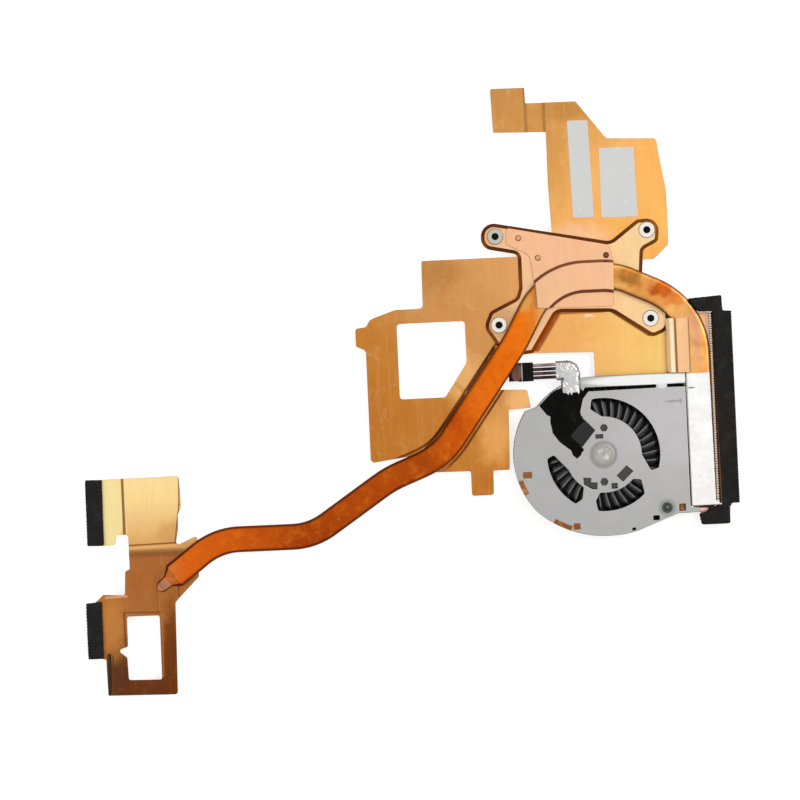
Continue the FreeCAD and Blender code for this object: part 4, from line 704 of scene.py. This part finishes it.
def makeFoil():
    # a band carried along the lead's corner: an arch across it, creased by folded waves, with a torn lower end
    rows, columns = 96, 64
    route = np.array(foilLook["route"])
    lengths = np.concatenate([[0], np.cumsum(np.linalg.norm(np.diff(route, axis=0), axis=1))])
    s = np.linspace(0, lengths[-1], rows)
    centre = np.stack([np.interp(s, lengths, route[:, k]) for k in range(2)], axis=1)
    kernel = np.hanning(25) / np.hanning(25).sum()
    padded = np.pad(centre, ((12, 12), (0, 0)), mode="edge")
    centre = np.stack([np.convolve(padded[:, k], kernel, "valid") for k in range(2)], axis=1)
    ahead = np.gradient(centre, axis=0)
    ahead /= np.linalg.norm(ahead, axis=1)[:, None]
    side = np.stack([ahead[:, 1], -ahead[:, 0]], axis=1)
    t = np.linspace(-1, 1, columns)
    flat = centre[:, None, :] + side[:, None, :] * (foilLook["half"] * t)[None, :, None]
    arch = 6.35 + (foilLook["top"] - 6.35) * (1 - np.abs(t) ** 8)
    points = np.concatenate([flat, np.broadcast_to(arch, (rows, columns))[..., None]], axis=2).reshape(-1, 3) * mm
    folds = np.abs(ripple(points, 2.6, 31)) + 0.5 * np.abs(ripple(points, 1.1, 32)) - 0.55
    points[:, 2] += foilLook["crease"] * folds * mm
    points[:, 0] += 0.12 * ripple(points, 1.6, 33) * mm
    points[:, 1] += (0.12 * ripple(points, 1.5, 34) - 0.9 * np.repeat(s > lengths[-1] - 1.2, columns)
                     * np.maximum(ripple(points, 0.7, 35), 0)) * mm
    points[:, 2] = np.minimum(points[:, 2], 7.8 * mm)
    material = steel("crinkledFoil", {"low": (168, 167, 164), "high": (230, 229, 227), "rim": (96, 94, 92),
                                      "grain": 0.0, "roughness": 0.28, "waves": 0.1, "metal": 0.85})
    piece = addPiece("crinkledFoil", points, gridFaces(rows, columns), material, smooth=False)
    piece.modifiers.new("thickness", "SOLIDIFY").thickness = 0.05 * mm
    print("foil is wrapped round the lead")


def makeWhiteTape():
    # a strip between two straight edges that sags a little at the cover's edge; a flap at its lower end widens it
    rows, columns = 220, 48
    v, u = np.meshgrid(np.linspace(0, 1, rows), np.linspace(0, 1, columns), indexing="ij")
    flap = np.clip((v - 0.972) / 0.004, 0, 1)
    x = 38.75 + 0.2 * v + (8.65 + 0.15 * v + 1.3 * flap) * u
    y = -36.4 - 47.5 * v
    points = np.stack([x, y, np.full_like(x, 6.47)], axis=-1).reshape(-1, 3) * mm
    dip = 0.05 * np.exp(-((u.ravel() - 0.07) / 0.03) ** 2)
    points[:, 2] += (0.02 * ripple(points, 7.0, 51) + 0.018 * ripple(points, 2.2, 52) - dip) * mm
    edge = np.minimum(u, 1 - u).ravel() < 0.01
    points[:, 0] += 0.06 * ripple(points, 1.6, 53) * edge * mm
    points[:, 2] = np.clip(points[:, 2], 6.42 * mm, 6.6 * mm)
    material, start, where = startFinish("outletTape")
    tone = mixed(between(noise(where, 210, 4, 0.6), 0.35, 0.7), colour(219, 217, 214), colour(230, 229, 227))
    low = between(parts(where)[1], -0.078, -0.06, 1.0, 0.0) * between(noise(where, 240, 4, 0.6), 0.5, 0.75)
    tone = mixed(low * 0.6, tone, colour(206, 184, 178))
    tone = mixed(between(parts(where)[0], 39.2 * mm, 39.4 * mm, 1.0, 0.0), tone, colour(150, 149, 147))
    tone = mixed(spot(where, 40.6, -41.6, 1.3, 0.32, 0.3) * 0.85, tone, colour(90, 90, 92))
    endFinish(material, start, colour=tone, roughness=0.4 + (noise(where, 300, 3) - 0.5) * 0.25, coat=0.25,
              coatRoughness=0.2, normal=bump(noise(where, 180, 3, 0.5), 0.18))
    piece = addPiece("outletTape", points, gridFaces(rows, columns), material)
    thickness = piece.modifiers.new("thickness", "SOLIDIFY")
    thickness.thickness, thickness.offset = 0.06 * mm, 1.0
    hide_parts("sealing_tape")
    print("the outlet is taped")


bendLook = {"foot": 32.5, "top": 34.9, "low": 4.6, "high": 6.9, "start": -16.3, "end": -35.9}
# the bend is pale and little metallic: a painted highlight where the climb catches the light
litBendCopper = {**sheetLook, "tones": ((0.0, (255, 224, 178)), (1.0, (255, 226, 184))), "metal": 0.3, "outline": 0.0,
              "flank": (0.05, 0.2)}


def makeFlapBend():
    # a sheet carried along y: its height is low + (high - low) * (1 - (1 - u)^2.6) from foot to top
    rows, columns = 60, 24
    v, u = np.meshgrid(np.linspace(0, 1, rows), np.linspace(0, 1, columns), indexing="ij")
    x = bendLook["foot"] + (bendLook["top"] - bendLook["foot"]) * u
    y = bendLook["start"] + (bendLook["end"] - bendLook["start"]) * v
    z = bendLook["low"] + (bendLook["high"] - bendLook["low"]) * (1 - (1 - u) ** 2.6)
    points = np.stack([x, y, z], axis=-1).reshape(-1, 3) * mm
    points[:, 2] += 0.02 * ripple(points, 4.0, 71) * mm
    piece = addPiece("flapBend", points, gridFaces(rows, columns)[:, ::-1], copper("flapBend", litBendCopper))
    thickness = piece.modifiers.new("thickness", "SOLIDIFY")
    thickness.thickness, thickness.offset = 0.3 * mm, -1.0
    print("the flap bends over the pipe")


capLook = {"middle": (8.1, -64.2), "bottom": 6.4, "reach": 4.2, "spokes": 6}


def makeHubCap():
    # a surface of revolution with six shallow pressed spokes between its rim and its centre
    rings, spokes = 60, 144
    r, a = np.meshgrid(np.linspace(0, 1, rings), np.linspace(0, 2 * np.pi, spokes, endpoint=False), indexing="ij")
    rise = 0.42 * (1 - np.clip((r - 0.72) / 0.28, 0, 1) ** 1.6)
    groove = 0.16 * np.exp(-((r - 0.66) / 0.035) ** 2) + 0.1 * np.exp(-((r - 0.24) / 0.04) ** 2)
    pressed = 0.07 * np.cos(capLook["spokes"] * a) * np.exp(-((r - 0.45) / 0.16) ** 2)
    z = capLook["bottom"] + rise - groove + pressed
    x = capLook["middle"][0] + capLook["reach"] * r * np.cos(a)
    y = capLook["middle"][1] + capLook["reach"] * r * np.sin(a)
    points = np.stack([x, y, z], axis=-1).reshape(-1, 3) * mm
    faces = gridFaces(rings, spokes, closed=True)
    piece = addPiece("stampedCap", points, faces, steel("capSteel", steelLooks["hubCap"]))
    work = bmesh.new()
    work.from_mesh(piece.data)
    bmesh.ops.remove_doubles(work, verts=work.verts, dist=1e-6)
    work.to_mesh(piece.data)
    work.free()
    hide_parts("hub_cap")
    print("the hub cap is pressed")


placeCamera()
setStage()
setLight()
print("camera, floor and light are set")
paintFrame()
makeFoams()
makeFoamRibs()
makeBlackTape()
makeFoil()
makeWhiteTape()
makeHubCap()
makeFlapBend()
